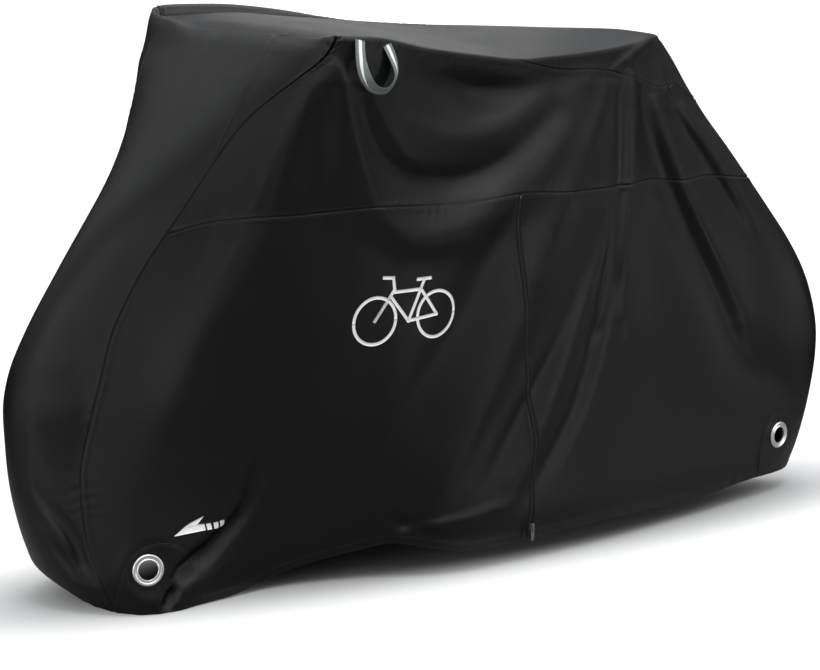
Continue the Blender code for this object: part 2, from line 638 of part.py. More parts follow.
def at_lengths(line, lengths):
    """Points at these lengths along a line of points."""
    steps = np.linalg.norm(np.diff(line, axis=0), axis=1)
    places = np.concatenate([[0], np.cumsum(steps)])
    return np.stack([np.interp(lengths, places, line[:, i]) for i in range(3)], axis=-1)


def rib(x):
    """One rib of the top panel, from its left seam over both rims to its right seam."""
    flaps = {}
    for side in (LEFT, RIGHT):
        heights = np.linspace(top_seam_height(x, side), rim_height(x, side), 9)
        flaps[side] = on_skirt(np.stack([np.full(9, x), heights], axis=-1), side)
    t = np.linspace(0, 1, 25)[:, None]
    over = flaps[LEFT][-1] * (1 - t) + flaps[RIGHT][-1] * t
    over[:, 2] += through(CROWN, x) * (1 - (2 * t[:, 0] - 1) ** 4)
    line = np.concatenate([flaps[LEFT][:-1], over, flaps[RIGHT][::-1][1:]])
    keep = np.concatenate([[True], np.linalg.norm(np.diff(line, axis=0), axis=1) > 1e-7])
    line = line[keep]
    total = np.linalg.norm(np.diff(line, axis=0), axis=1).sum()
    turns = []
    for side in (LEFT, RIGHT):
        flap = np.linalg.norm(np.diff(flaps[side], axis=0), axis=1).sum()
        turns.append(min(max(flap, FLAP_LEAST), total * 0.45))
    lengths = np.concatenate([
        np.linspace(0, turns[0], FLAP_COLUMNS + 1),
        np.linspace(turns[0], total - turns[1], TOP_COLUMNS - 2 * FLAP_COLUMNS + 1)[1:],
        np.linspace(total - turns[1], total, FLAP_COLUMNS + 1)[1:],
    ])
    return at_lengths(line, lengths)


def top_panel(front):
    """The top panel's ribs. The first is the front edge, which bows forward of the handlebar."""
    x = top_stations()
    ribs = np.array([rib(at) for at in x[:-1]] + [np.repeat(rib_end()[None], TOP_COLUMNS + 1, axis=0)])
    edge = np.concatenate([
        front["left_gore"][-1, ::-1],
        front["front_strip"][-1, 1:-1],
        front["right_gore"][-1],
    ])
    fade = np.clip(1 - (x - BAR_X) / FRONT_EDGE_FADE, 0, 1) ** 2
    ribs = ribs + fade[:, None, None] * (edge - ribs[0])[None]
    return ribs.transpose(1, 0, 2)


def rib_end():
    return on_skirt(np.array([TOP_REAR_X, float(top_seam_height(TOP_REAR_X, LEFT))]), LEFT)


# ---------------------------------------------------------------- cloth with its thickness
def faces_out(grid):
    """The grid with its columns turned round where needed, so that its faces look out of the cover."""
    across, up = grid[1:, 1:] - grid[:-1, :-1], grid[1:, :-1] - grid[:-1, 1:]
    normals = np.cross(across, up)
    middles = (grid[1:, 1:] + grid[:-1, :-1]) / 2
    core = middles * (1, 0, 0) + (0, 0, CORE_HEIGHT)
    core[..., 0] = np.clip(core[..., 0], -CORE_HALF_LENGTH, CORE_HALF_LENGTH)
    return grid if (normals * (middles - core)).sum() > 0 else grid[:, ::-1]


def seam_key(point):
    return tuple(np.round(point * 1e6).astype(int))


def shared_normals(grids):
    """Normals at every point, with those of panels that share a seam's points made one."""
    sums = {}
    for grid in grids.values():
        across, up = grid[1:, 1:] - grid[:-1, :-1], grid[1:, :-1] - grid[:-1, 1:]
        normals = np.cross(across, up)
        normals = normals / np.maximum(np.linalg.norm(normals, axis=-1, keepdims=True), 1e-12)
        for i, j in np.ndindex(normals.shape[:2]):
            for corner in ((i, j), (i + 1, j), (i, j + 1), (i + 1, j + 1)):
                key = seam_key(grid[corner])
                sums[key] = sums.get(key, 0) + normals[i, j]
    result = {}
    for name, grid in grids.items():
        found = np.array([[sums[seam_key(point)] for point in row] for row in grid])
        result[name] = found / np.linalg.norm(found, axis=-1, keepdims=True)
    return result


def inset(grid, gap):
    """The grid with its edges drawn in a little, towards the next points."""
    grid = grid.copy()
    for _ in range(2):
        for edge, inner in ((0, 1), (-1, -2)):
            step = grid[inner] - grid[edge]
            length = np.maximum(np.linalg.norm(step, axis=-1, keepdims=True), 1e-9)
            grid[edge] += step * np.minimum(gap / length, 0.4)
        grid = grid.transpose(1, 0, 2)
    return grid


def one_point(grid, index, gap):
    """The edge row made one point, drawn back from the tip of the seams."""
    inner = 1 if index == 0 else -2
    tip, towards = grid[index].mean(axis=0), grid[inner].mean(axis=0)
    step = towards - tip
    grid[index] = tip + step * (gap / np.linalg.norm(step))
    return grid


def solid_from_layers(name, outer, inner, slot, closed=False):
    """A closed body between two grids of points. Where closed, the columns run round a hole."""
    rows, columns = outer.shape[:2]
    mesh = bmesh.new()
    points = [[[mesh.verts.new(tuple(p)) for p in row] for row in layer] for layer in (outer, inner)]
    last = columns if closed else columns - 1
    out, back = points

    def face(a, b, c, d):
        for corners in ((a, b, c), (a, c, d)):
            if len({corner.co.to_tuple(7) for corner in corners}) > 2:
                mesh.faces.new(corners)

    for i in range(rows - 1):
        for j in range(last):
            k = (j + 1) % columns
            face(out[i][j], out[i][k], out[i + 1][k], out[i + 1][j])
            face(back[i + 1][k], back[i][k], back[i][j], back[i + 1][j])
    for j in range(last):
        k = (j + 1) % columns
        face(back[0][j], back[0][k], out[0][k], out[0][j])
        face(out[-1][j], out[-1][k], back[-1][k], back[-1][j])
    if not closed:
        for i in range(rows - 1):
            face(out[i][0], out[i + 1][0], back[i + 1][0], back[i][0])
            face(back[i][-1], back[i + 1][-1], out[i + 1][-1], out[i][-1])
    bmesh.ops.remove_doubles(mesh, verts=mesh.verts, dist=1e-6)
    bmesh.ops.dissolve_degenerate(mesh, edges=mesh.edges, dist=1e-7)
    bmesh.ops.recalc_face_normals(mesh, faces=mesh.faces)
    return finished(name, mesh, slot)


def finished(name, mesh, slot, smooth=True):
    """The bmesh as a named object that faces out."""
    if mesh.calc_volume(signed=True) < 0:
        bmesh.ops.reverse_faces(mesh, faces=mesh.faces)
    data = bpy.data.meshes.new(name)
    mesh.to_mesh(data)
    mesh.free()
    data.materials.append(materials[slot])
    for polygon in data.polygons:
        polygon.use_smooth = smooth
    body = bpy.data.objects.new(name, data)
    bpy.context.scene.collection.objects.link(body)
    return body


def cloth_panel(name, grid, normals):
    """One cut piece of the cover: its outer points, and the same drawn in by the cloth's thickness."""
    outer, inner = inset(grid, SEAM_GAP / 2), inset(grid - normals * CLOTH, SEAM_GAP / 2)
    if name.endswith("_gore"):
        outer, inner = one_point(outer, 0, TIP_GAP), one_point(inner, 0, TIP_GAP)
    if name == "top_panel":
        outer = one_point(outer.transpose(1, 0, 2), -1, TIP_GAP).transpose(1, 0, 2)
        inner = one_point(inner.transpose(1, 0, 2), -1, TIP_GAP).transpose(1, 0, 2)
    return solid_from_layers(name, outer, inner, "cover_cloth")


# ---------------------------------------------------------------- eyelets and their patches
def patch_outline(name, count, grow=0.0):
    """(x, height) places round a patch, from its rear foot over its rounded top, then along the hem."""
    middle, half, high, square = PATCHES[name]
    half, high = half + grow, high + grow
    turn = np.linspace(0, math.pi, count * 2 // 3 + 1)
    x = middle + half * np.sign(np.cos(turn)) * np.abs(np.cos(turn)) ** (2 / square)
    foot = through(HEM, x)
    top = foot + high * np.sin(turn) ** (2 / square)
    back = np.linspace(middle - half, middle + half, count - len(turn) + 2)[1:-1]
    low = through(HEM, back)
    if grow:
        low = low - CUTTER_BELOW
        top[[0, -1]] -= CUTTER_BELOW
    return np.concatenate([np.stack([x, top], axis=-1), np.stack([back, low], axis=-1)])


def eyelet_patch(side, row, count=30, rings=4):
    """The patch round one eyelet: rings of points from its round hole to its outline."""
    outline = patch_outline(row["name"], count)
    centre = np.array([row["x"], row["height"]])
    spokes = outline - centre
    reach = np.linalg.norm(spokes, axis=-1, keepdims=True)
    hole = centre + spokes / reach * (RING_INSIDE + RING_BARREL + 3 * RING_SEAT)
    flat = centre + spokes / reach * np.minimum(RING_OUTSIDE + 0.004, reach * 0.9)
    places = [hole, flat] + [flat + (outline - flat) * t for t in np.linspace(0, 1, rings - 1)[1:]]
    outer = on_skirt(np.array(places), side)
    inner = outer - np.array([0, side * CLOTH, 0])
    word = "left" if side == LEFT else "right"
    return solid_from_layers(f"{word}_{row['name']}_patch", outer, inner, "cover_cloth", closed=True)


def patch_cutter(side, row):
    """A prism through the side of the cover, a seam's gap larger than the patch."""
    outline = patch_outline(row["name"], 72, grow=SEAM_GAP)
    mesh = bmesh.new()
    ends = [[mesh.verts.new((x, side * away, z)) for x, z in outline] for away in CUTTER_REACH]
    mesh.faces.new(ends[0])
    mesh.faces.new(ends[1][::-1])
    for i in range(len(outline)):
        k = (i + 1) % len(outline)
        mesh.faces.new((ends[0][i], ends[0][k], ends[1][k], ends[1][i]))
    bmesh.ops.recalc_face_normals(mesh, faces=mesh.faces)
    word = "left" if side == LEFT else "right"
    cutter = finished(f"{word}_{row['name']}_patch_cutter", mesh, "cover_cloth", smooth=False)
    cutter.hide_render = True
    cutter.display_type = "WIRE"
    return cutter


def cut_out(panel, cutter):
    """Take the patch's place out of the panel."""
    change = panel.modifiers.new("patch", "BOOLEAN")
    change.operation, change.solver, change.object = "DIFFERENCE", "EXACT", cutter


def eyelet_ring(side, row, around=28):
    """A snap-together ring: its barrel lines the hole and its two flanges hold the cloth between them."""
    half = CLOTH / 2 + RING_SEAT
    barrel = RING_INSIDE + RING_BARREL
    profile = (  # radius, distance out of the middle of the cloth
        (RING_INSIDE, -half - RING_FLANGE * 0.5),
        (RING_INSIDE, half + RING_FLANGE * 0.5),
        (RING_INSIDE + RING_INNER_EDGE, half + RING_FLANGE),
        (RING_OUTSIDE - RING_OUTER_EDGE, half + RING_FLANGE),
        (RING_OUTSIDE, half),
        (barrel, half),
        (barrel, -half),
        (RING_OUTSIDE, -half),
        (RING_OUTSIDE - RING_OUTER_EDGE, -half - RING_FLANGE),
        (RING_INSIDE + RING_INNER_EDGE, -half - RING_FLANGE),
    )
    centre = on_skirt(np.array([row["x"], row["height"]]), side) - np.array([0, side * CLOTH / 2, 0])
    out = np.array([-row["turn"], side, -row["lean"]])
    out = out / np.linalg.norm(out)
    level = np.cross(out, (0, 0, 1.0))
    level = level / np.linalg.norm(level)
    up = np.cross(level, out)
    turns = np.linspace(0, 2 * math.pi, around, endpoint=False)
    mesh = bmesh.new()
    hoops = []
    for radius, away in profile:
        spokes = np.cos(turns)[:, None] * level + np.sin(turns)[:, None] * up
        points = centre + away * out + radius * spokes
        hoops.append([mesh.verts.new(tuple(point)) for point in points])
    for i, hoop in enumerate(hoops):
        after = hoops[(i + 1) % len(hoops)]
        for j in range(around):
            k = (j + 1) % around
            mesh.faces.new((hoop[j], hoop[k], after[k], after[j]))
    bmesh.ops.recalc_face_normals(mesh, faces=mesh.faces)
    word = "left" if side == LEFT else "right"
    return finished(f"{word}_{row['name']}_eyelet", mesh, "eyelet_ring")


# ---------------------------------------------------------------- the zip's slider and pull, and the loop
def zip_frame():
    """Where the slider is, and its directions: across the zip, up along it and out of the cloth."""
    heights = SLIDER_HEIGHT - SLIDER["half_length"], SLIDER_HEIGHT + SLIDER["half_length"]
    low, high = (on_skirt(np.array([float(through(ZIP_LINE, at)), at]), LEFT) for at in heights)
    up = (high - low) / np.linalg.norm(high - low)
    out = np.cross(up, (1.0, 0.0, 0.0))
    out = out / np.linalg.norm(out)
    out = out if out[1] < 0 else -out
    across = np.cross(up, out)
    return (low + high) / 2 + out * ZIP_PROUD, np.stack([across, up, out])


def plate(name, slot, outline, low, high, holes=()):
    """A flat piece on the slider's directions: an outline between two distances out of the cloth."""
    origin, directions = zip_frame()
    mesh = bmesh.new()

    def ring(places, away):
        return [mesh.verts.new(tuple(origin + np.array([a, b, away]) @ directions)) for a, b in places]

    def rim(places, hollow):
        lower, upper = ring(places, low), ring(places, high)
        for i in range(len(places)):
            k = (i + 1) % len(places)
            corners = (lower[i], lower[k], upper[k], upper[i])
            mesh.faces.new(corners[::-1] if hollow else corners)
        return lower, upper

    walls = [rim(outline, False)] + [rim(places, True) for places in holes]
    for level in (0, 1):
        edges = []
        for wall in walls:
            loop = wall[level]
            edges += [mesh.edges.get((loop[i], loop[(i + 1) % len(loop)])) for i in range(len(loop))]
        bmesh.ops.triangle_fill(mesh, use_beauty=True, use_dissolve=False, edges=edges)
    bmesh.ops.recalc_face_normals(mesh, faces=mesh.faces)
    return finished(name, mesh, slot, smooth=False)


def rounded(left, right, low, high, radius, steps=4):
    """A rectangle's outline with rounded corners."""
    places = []
    for x, y, start in ((right, high, 0), (left, high, 1), (left, low, 2), (right, low, 3)):
        middle_x = x - math.copysign(radius, x - (left + right) / 2)
        middle_y = y - math.copysign(radius, y - (low + high) / 2)
        for i in range(steps + 1):
            turn = (start + i / steps) * math.pi / 2
            places.append((middle_x + radius * math.cos(turn), middle_y + radius * math.sin(turn)))
    return places


def loop_grid(count=40):
    """The loop's ribbon: flat against the side at its two sewn ends, turned on edge at the bottom."""
    t = np.linspace(0, 1, count + 1)
    x, height, away, turn = (through(LOOP_LINE, t, column) for column in (1, 2, 3, 4))
    base = on_skirt(np.stack([x, height], axis=-1), LEFT)
    middle = base - np.stack([0 * t, away, 0 * t], axis=-1)
    ahead = on_skirt(np.stack([x + 0.005, height], axis=-1), LEFT)
    level = (ahead - base) / np.linalg.norm(ahead - base, axis=-1, keepdims=True)
    out = np.cross(level, (0.0, 0.0, 1.0))
    wide = np.cos(np.radians(turn))[:, None] * level + np.sin(np.radians(turn))[:, None] * out
    along_it = np.gradient(middle, axis=0)
    along_it = along_it / np.linalg.norm(along_it, axis=-1, keepdims=True)
    wide = wide - (wide * along_it).sum(axis=-1, keepdims=True) * along_it
    wide = wide / np.linalg.norm(wide, axis=-1, keepdims=True)
    thick = np.cross(along_it, wide)
    grid = np.stack([middle - wide * LOOP_WIDTH / 2, middle, middle + wide * LOOP_WIDTH / 2], axis=1)
    return grid, np.repeat(thick[:, None], 3, axis=1)


def loop_body():
    """The loop's ribbon with its thickness."""
    grid, thick = loop_grid()
    face, back = grid + thick * CLOTH / 2, grid - thick * CLOTH / 2
    return solid_from_layers("reflective_loop", face, back, "loop_ribbon")


def zip_parts():
    """The slider with its bridge, and the pull that hangs from it."""
    half_width, half_length = SLIDER["half_width"], SLIDER["half_length"]
    outline = rounded(-half_width, half_width, -half_length, half_length, SLIDER["corner"])
    slider = plate("zip_slider", "zip_metal", outline, SLIDER["base"], SLIDER["top"])
    half, length, post = BRIDGE["half_width"], BRIDGE["half_length"], BRIDGE["post"]
    foot = SLIDER["top"] - BRIDGE_SUNK
    pieces = [
        ("upper_post", (-half, half, length - post, length), foot, BRIDGE["top"]),
        ("lower_post", (-half, half, -length, post - length), foot, BRIDGE["top"]),
        ("bar", (-half, half, -length, length), BRIDGE["under"], BRIDGE["top"]),
    ]
    for word, (left, right, low, high), base, top in pieces:
        corners = ((right, high), (left, high), (left, low), (right, low))
        piece = plate(f"zip_slider_{word}_form", "zip_metal", corners, base, top)
        piece.hide_render = True
        piece.display_type = "WIRE"
        join = slider.modifiers.new(word, "BOOLEAN")
        join.operation, join.solver, join.object = "UNION", "EXACT", piece
    half, wall = PULL["half_width"], PULL_WINDOW["wall"]
    inside, top = half - wall, PULL["top"] - wall
    window = rounded(-inside, inside, PULL_WINDOW["bottom"], top, PULL_WINDOW["corner"], steps=2)
    turns = np.linspace(0, 2 * math.pi, 12, endpoint=False)
    radius, middle = PULL_EYE["radius"], PULL["bottom"] + PULL_EYE["above_bottom"]
    eye = [(radius * math.cos(turn), middle + radius * math.sin(turn)) for turn in turns]
    outline = rounded(-half, half, PULL["bottom"], PULL["top"], PULL_CORNER)
    plate("zip_pull", "zip_metal", outline, PULL["base"], PULL["face"], holes=(window, eye))


# ---------------------------------------------------------------- the cover
for startup in list(bpy.data.objects):
    bpy.data.objects.remove(startup, do_unlink=True)

materials = {}
SURFACES = {  # base colour, roughness, metal
    "cover_cloth": ((0.013, 0.014, 0.016), 0.48, 0.0),
    "eyelet_ring": ((0.62, 0.63, 0.64), 0.28, 1.0),
    "zip_teeth": ((0.014, 0.014, 0.015), 0.40, 0.0),
    "zip_metal": ((0.45, 0.45, 0.46), 0.30, 1.0),
    "loop_ribbon": ((0.55, 0.56, 0.58), 0.45, 0.0),
}
for surface_name, (colour, roughness, metal) in SURFACES.items():
    material = bpy.data.materials.new(surface_name)
    material.use_nodes = True
    shader = material.node_tree.nodes["Principled BSDF"]
    shader.inputs["Base Color"].default_value = (*colour, 1.0)
    shader.inputs["Roughness"].default_value = roughness
    shader.inputs["Metallic"].default_value = metal
    materials[surface_name] = material

front = front_panels()
cut_pieces = {**front, **side_panels(LEFT), **side_panels(RIGHT), "top_panel": top_panel(front)}
chain = faces_out(cut_pieces.pop("zip_chain"))
cut_pieces = {name: faces_out(grid) for name, grid in cut_pieces.items()}
normals_of = shared_normals({**cut_pieces, "zip_chain": chain})
bodies = {name: cloth_panel(name, grid, normals_of[name]) for name, grid in cut_pieces.items()}

chain_out = chain + normals_of["zip_chain"] * ZIP_PROUD
chain_in = chain_out - normals_of["zip_chain"] * ZIP_THICKNESS
solid_from_layers("zip_chain", inset(chain_out, SEAM_GAP / 2), inset(chain_in, SEAM_GAP / 2), "zip_teeth")
zip_parts()
loop_body()

HOLDS_PATCH = {
    (LEFT, "front"): "left_lower_front_panel",
    (LEFT, "rear"): "left_lower_rear_panel",
    (RIGHT, "front"): "right_lower_panel",
    (RIGHT, "rear"): "right_lower_panel",
}
for side in (LEFT, RIGHT):
    for eyelet in EYELETS:
        eyelet_patch(side, eyelet)
        eyelet_ring(side, eyelet)
        cut_out(bodies[HOLDS_PATCH[side, eyelet["name"]]], patch_cutter(side, eyelet))

# The origin goes to the underside of the top panel, in the middle of the cover's length.
under_top = rib(MOUNT_X)
middle_height = float(np.interp(0.0, under_top[:, 1], under_top[:, 2])) - CLOTH
root = bpy.data.objects.new("bicycle_cover", None)
bpy.context.scene.collection.objects.link(root)
root.location = (-MOUNT_X, 0.0, -middle_height)
for body in list(bpy.context.scene.objects):
    if body != root:
        body.parent = root
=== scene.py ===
"""Bicycle cover of satin black coated cloth, as it hangs over a bicycle.

Shapes are worked out in metres with X from the front wheel to the rear wheel, the left side at -Y and
heights above the floor. The function placed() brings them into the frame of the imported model.
"""

import math

import bpy
import numpy as np
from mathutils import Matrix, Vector


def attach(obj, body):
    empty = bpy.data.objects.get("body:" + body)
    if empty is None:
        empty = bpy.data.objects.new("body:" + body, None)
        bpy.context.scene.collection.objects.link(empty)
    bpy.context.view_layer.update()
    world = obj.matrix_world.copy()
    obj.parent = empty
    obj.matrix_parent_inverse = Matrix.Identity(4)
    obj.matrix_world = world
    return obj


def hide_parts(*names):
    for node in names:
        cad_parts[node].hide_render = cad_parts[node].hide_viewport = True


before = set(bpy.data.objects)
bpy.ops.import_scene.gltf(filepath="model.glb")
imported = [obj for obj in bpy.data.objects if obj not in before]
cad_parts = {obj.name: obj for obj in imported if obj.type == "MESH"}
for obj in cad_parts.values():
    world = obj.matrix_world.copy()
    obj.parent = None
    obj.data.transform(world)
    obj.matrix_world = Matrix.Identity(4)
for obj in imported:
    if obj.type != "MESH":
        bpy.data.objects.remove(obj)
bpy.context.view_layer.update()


# ======================================================== camera
# The view of the photograph: from the front on the left side, a little above the cover, with a long
# lens, so that the rear wheel's end is hardly smaller than the front.
ORIGIN = np.array((0.03, 0.0, 1.00493))  # the frame's origin, under the top panel
CAMERA_PLACE = (-2.00, -3.40, 1.18)
CAMERA_TURN, CAMERA_DIP = math.radians(29.5), math.radians(10.9)
LENS = 87.8


def placed(points):
    """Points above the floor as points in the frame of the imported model."""
    return np.asarray(points, dtype=float) - ORIGIN


camera = bpy.data.objects.new("camera", bpy.data.cameras.new("camera"))
bpy.context.scene.collection.objects.link(camera)
camera.location = placed(CAMERA_PLACE)
looks = Vector((
    math.sin(CAMERA_TURN) * math.cos(CAMERA_DIP),
    math.cos(CAMERA_TURN) * math.cos(CAMERA_DIP),
    -math.sin(CAMERA_DIP),
))
camera.rotation_euler = looks.to_track_quat("-Z", "Y").to_euler()
camera.data.lens, camera.data.sensor_width = LENS, 36.0
camera.data.clip_end = 200.0
bpy.context.scene.camera = camera


# ======================================================== floor and light
# A plain pale studio floor under a white backdrop, with large soft lights before, beside, behind and over
# the cover. The cloth is nearly black, so its folds show by what they mirror: the lights stand apart, with
# darkness between them. The floor also holds painted light: pools of painted light that only the cloth's reflections
# see, and a painted shadow where its glow fades under and beside the cover.
FLOOR_REACH = 60.0
FLOOR_SEEN = 0.34
PAINTED_LIGHT_POOLS = (  # pools of painted light on the floor that the cloth mirrors; elsewhere it mirrors a dark floor
    {"middle": (-0.1, -0.1), "half": (1.5, 1.25), "grey": 0.24},
    {"middle": (-1.45, -1.70), "half": (0.65, 0.50), "grey": 0.95},
)
FLOOR_GLOW = {"near": 0.68, "far": 1.0, "from": 1.2, "to": 5.0}
PAINTED_SHADOW_UNDER_COVER = {"size": (0.86, 0.19), "from": 0.75, "to": 1.75}  # painted shadow: the floor's glow fades out inside the cover and just beside its hem
LIGHTS = (  # name, place, what it looks at, width, height, watts
    ("front_left", (-3.2, -1.0, 0.62), (-0.6, 0.0, 0.7), 1.3, 1.1, 24),
    ("right", (2.35, -1.85, 0.50), (0.0, 0.0, 0.6), 0.65, 0.95, 17),
    ("high_right", (3.2, -2.4, 3.1), (0.1, 0.0, 0.7), 1.5, 1.3, 30),
    ("high_left", (-2.7, -2.2, 2.6), (-0.3, 0.0, 0.7), 1.4, 1.2, 8),
    ("high_front", (-0.5, -2.4, 4.4), (-0.2, 0.0, 0.6), 2.0, 1.2, 90),
    ("behind_left", (-1.6, 4.0, 2.7), (-0.5, 0.0, 0.9), 1.6, 1.6, 4),
    ("behind_right", (1.9, 3.6, 1.9), (0.0, 0.0, 1.0), 1.6, 1.2, 5),
    ("overhead", (0.3, 1.0, 4.2), (0.0, 0.0, 0.6), 3.6, 2.2, 80),
)
BACKDROP = 1.0
ROOM = {"before": 0.12, "behind": 0.0, "up": 1.5}  # how bright the dark room is that the cloth mirrors

floor_mesh = bpy.data.meshes.new("studio_floor")
corners = placed([(x * FLOOR_REACH, y * FLOOR_REACH, 0) for x, y in ((-1, -1), (1, -1), (1, 1), (-1, 1))])
floor_mesh.from_pydata([tuple(corner) for corner in corners], [], [(0, 1, 2, 3)])
studio_floor = bpy.data.objects.new("studio_floor", floor_mesh)
bpy.context.scene.collection.objects.link(studio_floor)
floor_paint = bpy.data.materials.new("floor_paint")
floor_paint.use_nodes = True
tree = floor_paint.node_tree
floor_shader = tree.nodes["Principled BSDF"]
floor_shader.inputs["Roughness"].default_value = 0.8
floor_shader.inputs["Specular IOR Level"].default_value = 0.0
spot = tree.nodes.new("ShaderNodeNewGeometry").outputs["Position"]
greys = []
# Painted light: pale pools of floor colour, seen only in reflections, so that the cloth mirrors bright patches there.
for pool in PAINTED_LIGHT_POOLS:
    from_pool = tree.nodes.new("ShaderNodeVectorMath")
    from_pool.operation = "SUBTRACT"
    from_pool.inputs[1].default_value = tuple(placed((*pool["middle"], 0)))
    tree.links.new(spot, from_pool.inputs[0])
    squeezed = tree.nodes.new("ShaderNodeVectorMath")
    squeezed.operation = "MULTIPLY"
    squeezed.inputs[1].default_value = (1 / pool["half"][0], 1 / pool["half"][1], 0.0)
    tree.links.new(from_pool.outputs[0], squeezed.inputs[0])
    away = tree.nodes.new("ShaderNodeVectorMath")
    away.operation = "LENGTH"
    tree.links.new(squeezed.outputs[0], away.inputs[0])
    lit = tree.nodes.new("ShaderNodeMapRange")
    lit.interpolation_type = "SMOOTHSTEP"
    lit.inputs["From Min"].default_value, lit.inputs["From Max"].default_value = 0.5, 1.5
    lit.inputs["To Min"].default_value, lit.inputs["To Max"].default_value = pool["grey"], 0.0
    tree.links.new(away.outputs["Value"], lit.inputs["Value"])
    greys.append(lit.outputs[0])
grey = tree.nodes.new("ShaderNodeMath")
tree.links.new(greys[0], grey.inputs[0])
tree.links.new(greys[1], grey.inputs[1])
tree.links.new(grey.outputs[0], floor_shader.inputs["Base Color"])
seen = tree.nodes.new("ShaderNodeBsdfDiffuse")
seen.inputs["Color"].default_value = (FLOOR_SEEN, FLOOR_SEEN, FLOOR_SEEN, 1.0)
glow = tree.nodes.new("ShaderNodeEmission")
distance = tree.nodes.new("ShaderNodeVectorMath")
distance.operation = "LENGTH"
tree.links.new(tree.nodes.new("ShaderNodeNewGeometry").outputs["Position"], distance.inputs[0])
by_distance = tree.nodes.new("ShaderNodeMapRange")
by_distance.inputs["From Min"].default_value = FLOOR_GLOW["from"]
by_distance.inputs["From Max"].default_value = FLOOR_GLOW["to"]
by_distance.inputs["To Min"].default_value = FLOOR_GLOW["near"]
by_distance.inputs["To Max"].default_value = FLOOR_GLOW["far"]
tree.links.new(distance.outputs["Value"], by_distance.inputs["Value"])
# Painted shadow: the glow fades out under the cover and just beside its hem, so the floor looks shaded there.
flattened = tree.nodes.new("ShaderNodeVectorMath")
flattened.operation = "MULTIPLY"
flattened.inputs[1].default_value = (1 / PAINTED_SHADOW_UNDER_COVER["size"][0], 1 / PAINTED_SHADOW_UNDER_COVER["size"][1], 0.0)
tree.links.new(distance.inputs[0].links[0].from_socket, flattened.inputs[0])
outwards = tree.nodes.new("ShaderNodeVectorMath")
outwards.operation = "LENGTH"
tree.links.new(flattened.outputs[0], outwards.inputs[0])
outside_painted_shadow = tree.nodes.new("ShaderNodeMapRange")
outside_painted_shadow.interpolation_type = "SMOOTHSTEP"
outside_painted_shadow.inputs["From Min"].default_value = PAINTED_SHADOW_UNDER_COVER["from"]
outside_painted_shadow.inputs["From Max"].default_value = PAINTED_SHADOW_UNDER_COVER["to"]
tree.links.new(outwards.outputs["Value"], outside_painted_shadow.inputs["Value"])
glow_level = tree.nodes.new("ShaderNodeMath")
glow_level.operation = "MULTIPLY"
tree.links.new(by_distance.outputs[0], glow_level.inputs[0])
tree.links.new(outside_painted_shadow.outputs[0], glow_level.inputs[1])
tree.links.new(glow_level.outputs[0], glow.inputs["Strength"])
both = tree.nodes.new("ShaderNodeAddShader")
tree.links.new(seen.outputs[0], both.inputs[0])
tree.links.new(glow.outputs[0], both.inputs[1])
to_camera = tree.nodes.new("ShaderNodeMixShader")
tree.links.new(tree.nodes.new("ShaderNodeLightPath").outputs["Is Camera Ray"], to_camera.inputs[0])
tree.links.new(floor_shader.outputs[0], to_camera.inputs[1])
tree.links.new(both.outputs[0], to_camera.inputs[2])
tree.links.new(to_camera.outputs[0], tree.nodes["Material Output"].inputs["Surface"])
floor_mesh.materials.append(floor_paint)

for light_name, place, target, wide, high, watts in LIGHTS:
    lamp = bpy.data.lights.new(light_name, "AREA")
    lamp.shape, lamp.size, lamp.size_y, lamp.energy = "RECTANGLE", wide, high, watts
    light = bpy.data.objects.new(light_name, lamp)
    light.location = placed(place)
    light.rotation_euler = (Vector(target) - Vector(place)).to_track_quat("-Z", "Y").to_euler()
    light.visible_camera = False
    bpy.context.scene.collection.objects.link(light)

studio = bpy.data.worlds.new("studio")
studio.use_nodes = True
tree = studio.node_tree
room = tree.nodes["Background"]
room.inputs["Color"].default_value = (0.95, 0.97, 1.0, 1.0)
way = tree.nodes.new("ShaderNodeSeparateXYZ")
tree.links.new(tree.nodes.new("ShaderNodeTexCoord").outputs["Generated"], way.inputs[0])
level = tree.nodes.new("ShaderNodeMapRange")
level.inputs["From Min"].default_value, level.inputs["From Max"].default_value = 0.0, 0.8
level.inputs["To Min"].default_value, level.inputs["To Max"].default_value = ROOM["before"], ROOM["behind"]
tree.links.new(way.outputs["Y"], level.inputs["Value"])
upwards = tree.nodes.new("ShaderNodeMapRange")
upwards.inputs["From Min"].default_value, upwards.inputs["From Max"].default_value = 0.2, 1.0
upwards.inputs["To Min"].default_value, upwards.inputs["To Max"].default_value = 0.0, ROOM["up"]
tree.links.new(way.outputs["Z"], upwards.inputs["Value"])
strength = tree.nodes.new("ShaderNodeMath")
tree.links.new(level.outputs[0], strength.inputs[0])
tree.links.new(upwards.outputs[0], strength.inputs[1])
tree.links.new(strength.outputs[0], room.inputs["Strength"])
backdrop = tree.nodes.new("ShaderNodeBackground")
backdrop.inputs["Strength"].default_value = BACKDROP
to_camera = tree.nodes.new("ShaderNodeMixShader")
tree.links.new(tree.nodes.new("ShaderNodeLightPath").outputs["Is Camera Ray"], to_camera.inputs[0])
tree.links.new(room.outputs[0], to_camera.inputs[1])
tree.links.new(backdrop.outputs[0], to_camera.inputs[2])
tree.links.new(to_camera.outputs[0], tree.nodes["World Output"].inputs["Surface"])
bpy.context.scene.world = studio
bpy.context.scene.view_settings.view_transform = "Standard"


# ======================================================== side panels
# The upper and lower panels of both sides, of polyester cloth with a satin coating. They hang from the
# handlebar's ends and the saddle, and join in a waist seam. A zip parts the left lower panel in two.
CLOTH = 0.0014
LEFT, RIGHT = -1, 1
BAR_X = -0.42  # the ends of the handlebar, where the shoulders hang
TOP_REAR_X = 0.605  # the top panel ends here, behind the saddle
ZIP_TOP_X = 0.026
ZIP_HALF_WIDTH = 0.004
GORE_APEX_HEIGHT = 0.815

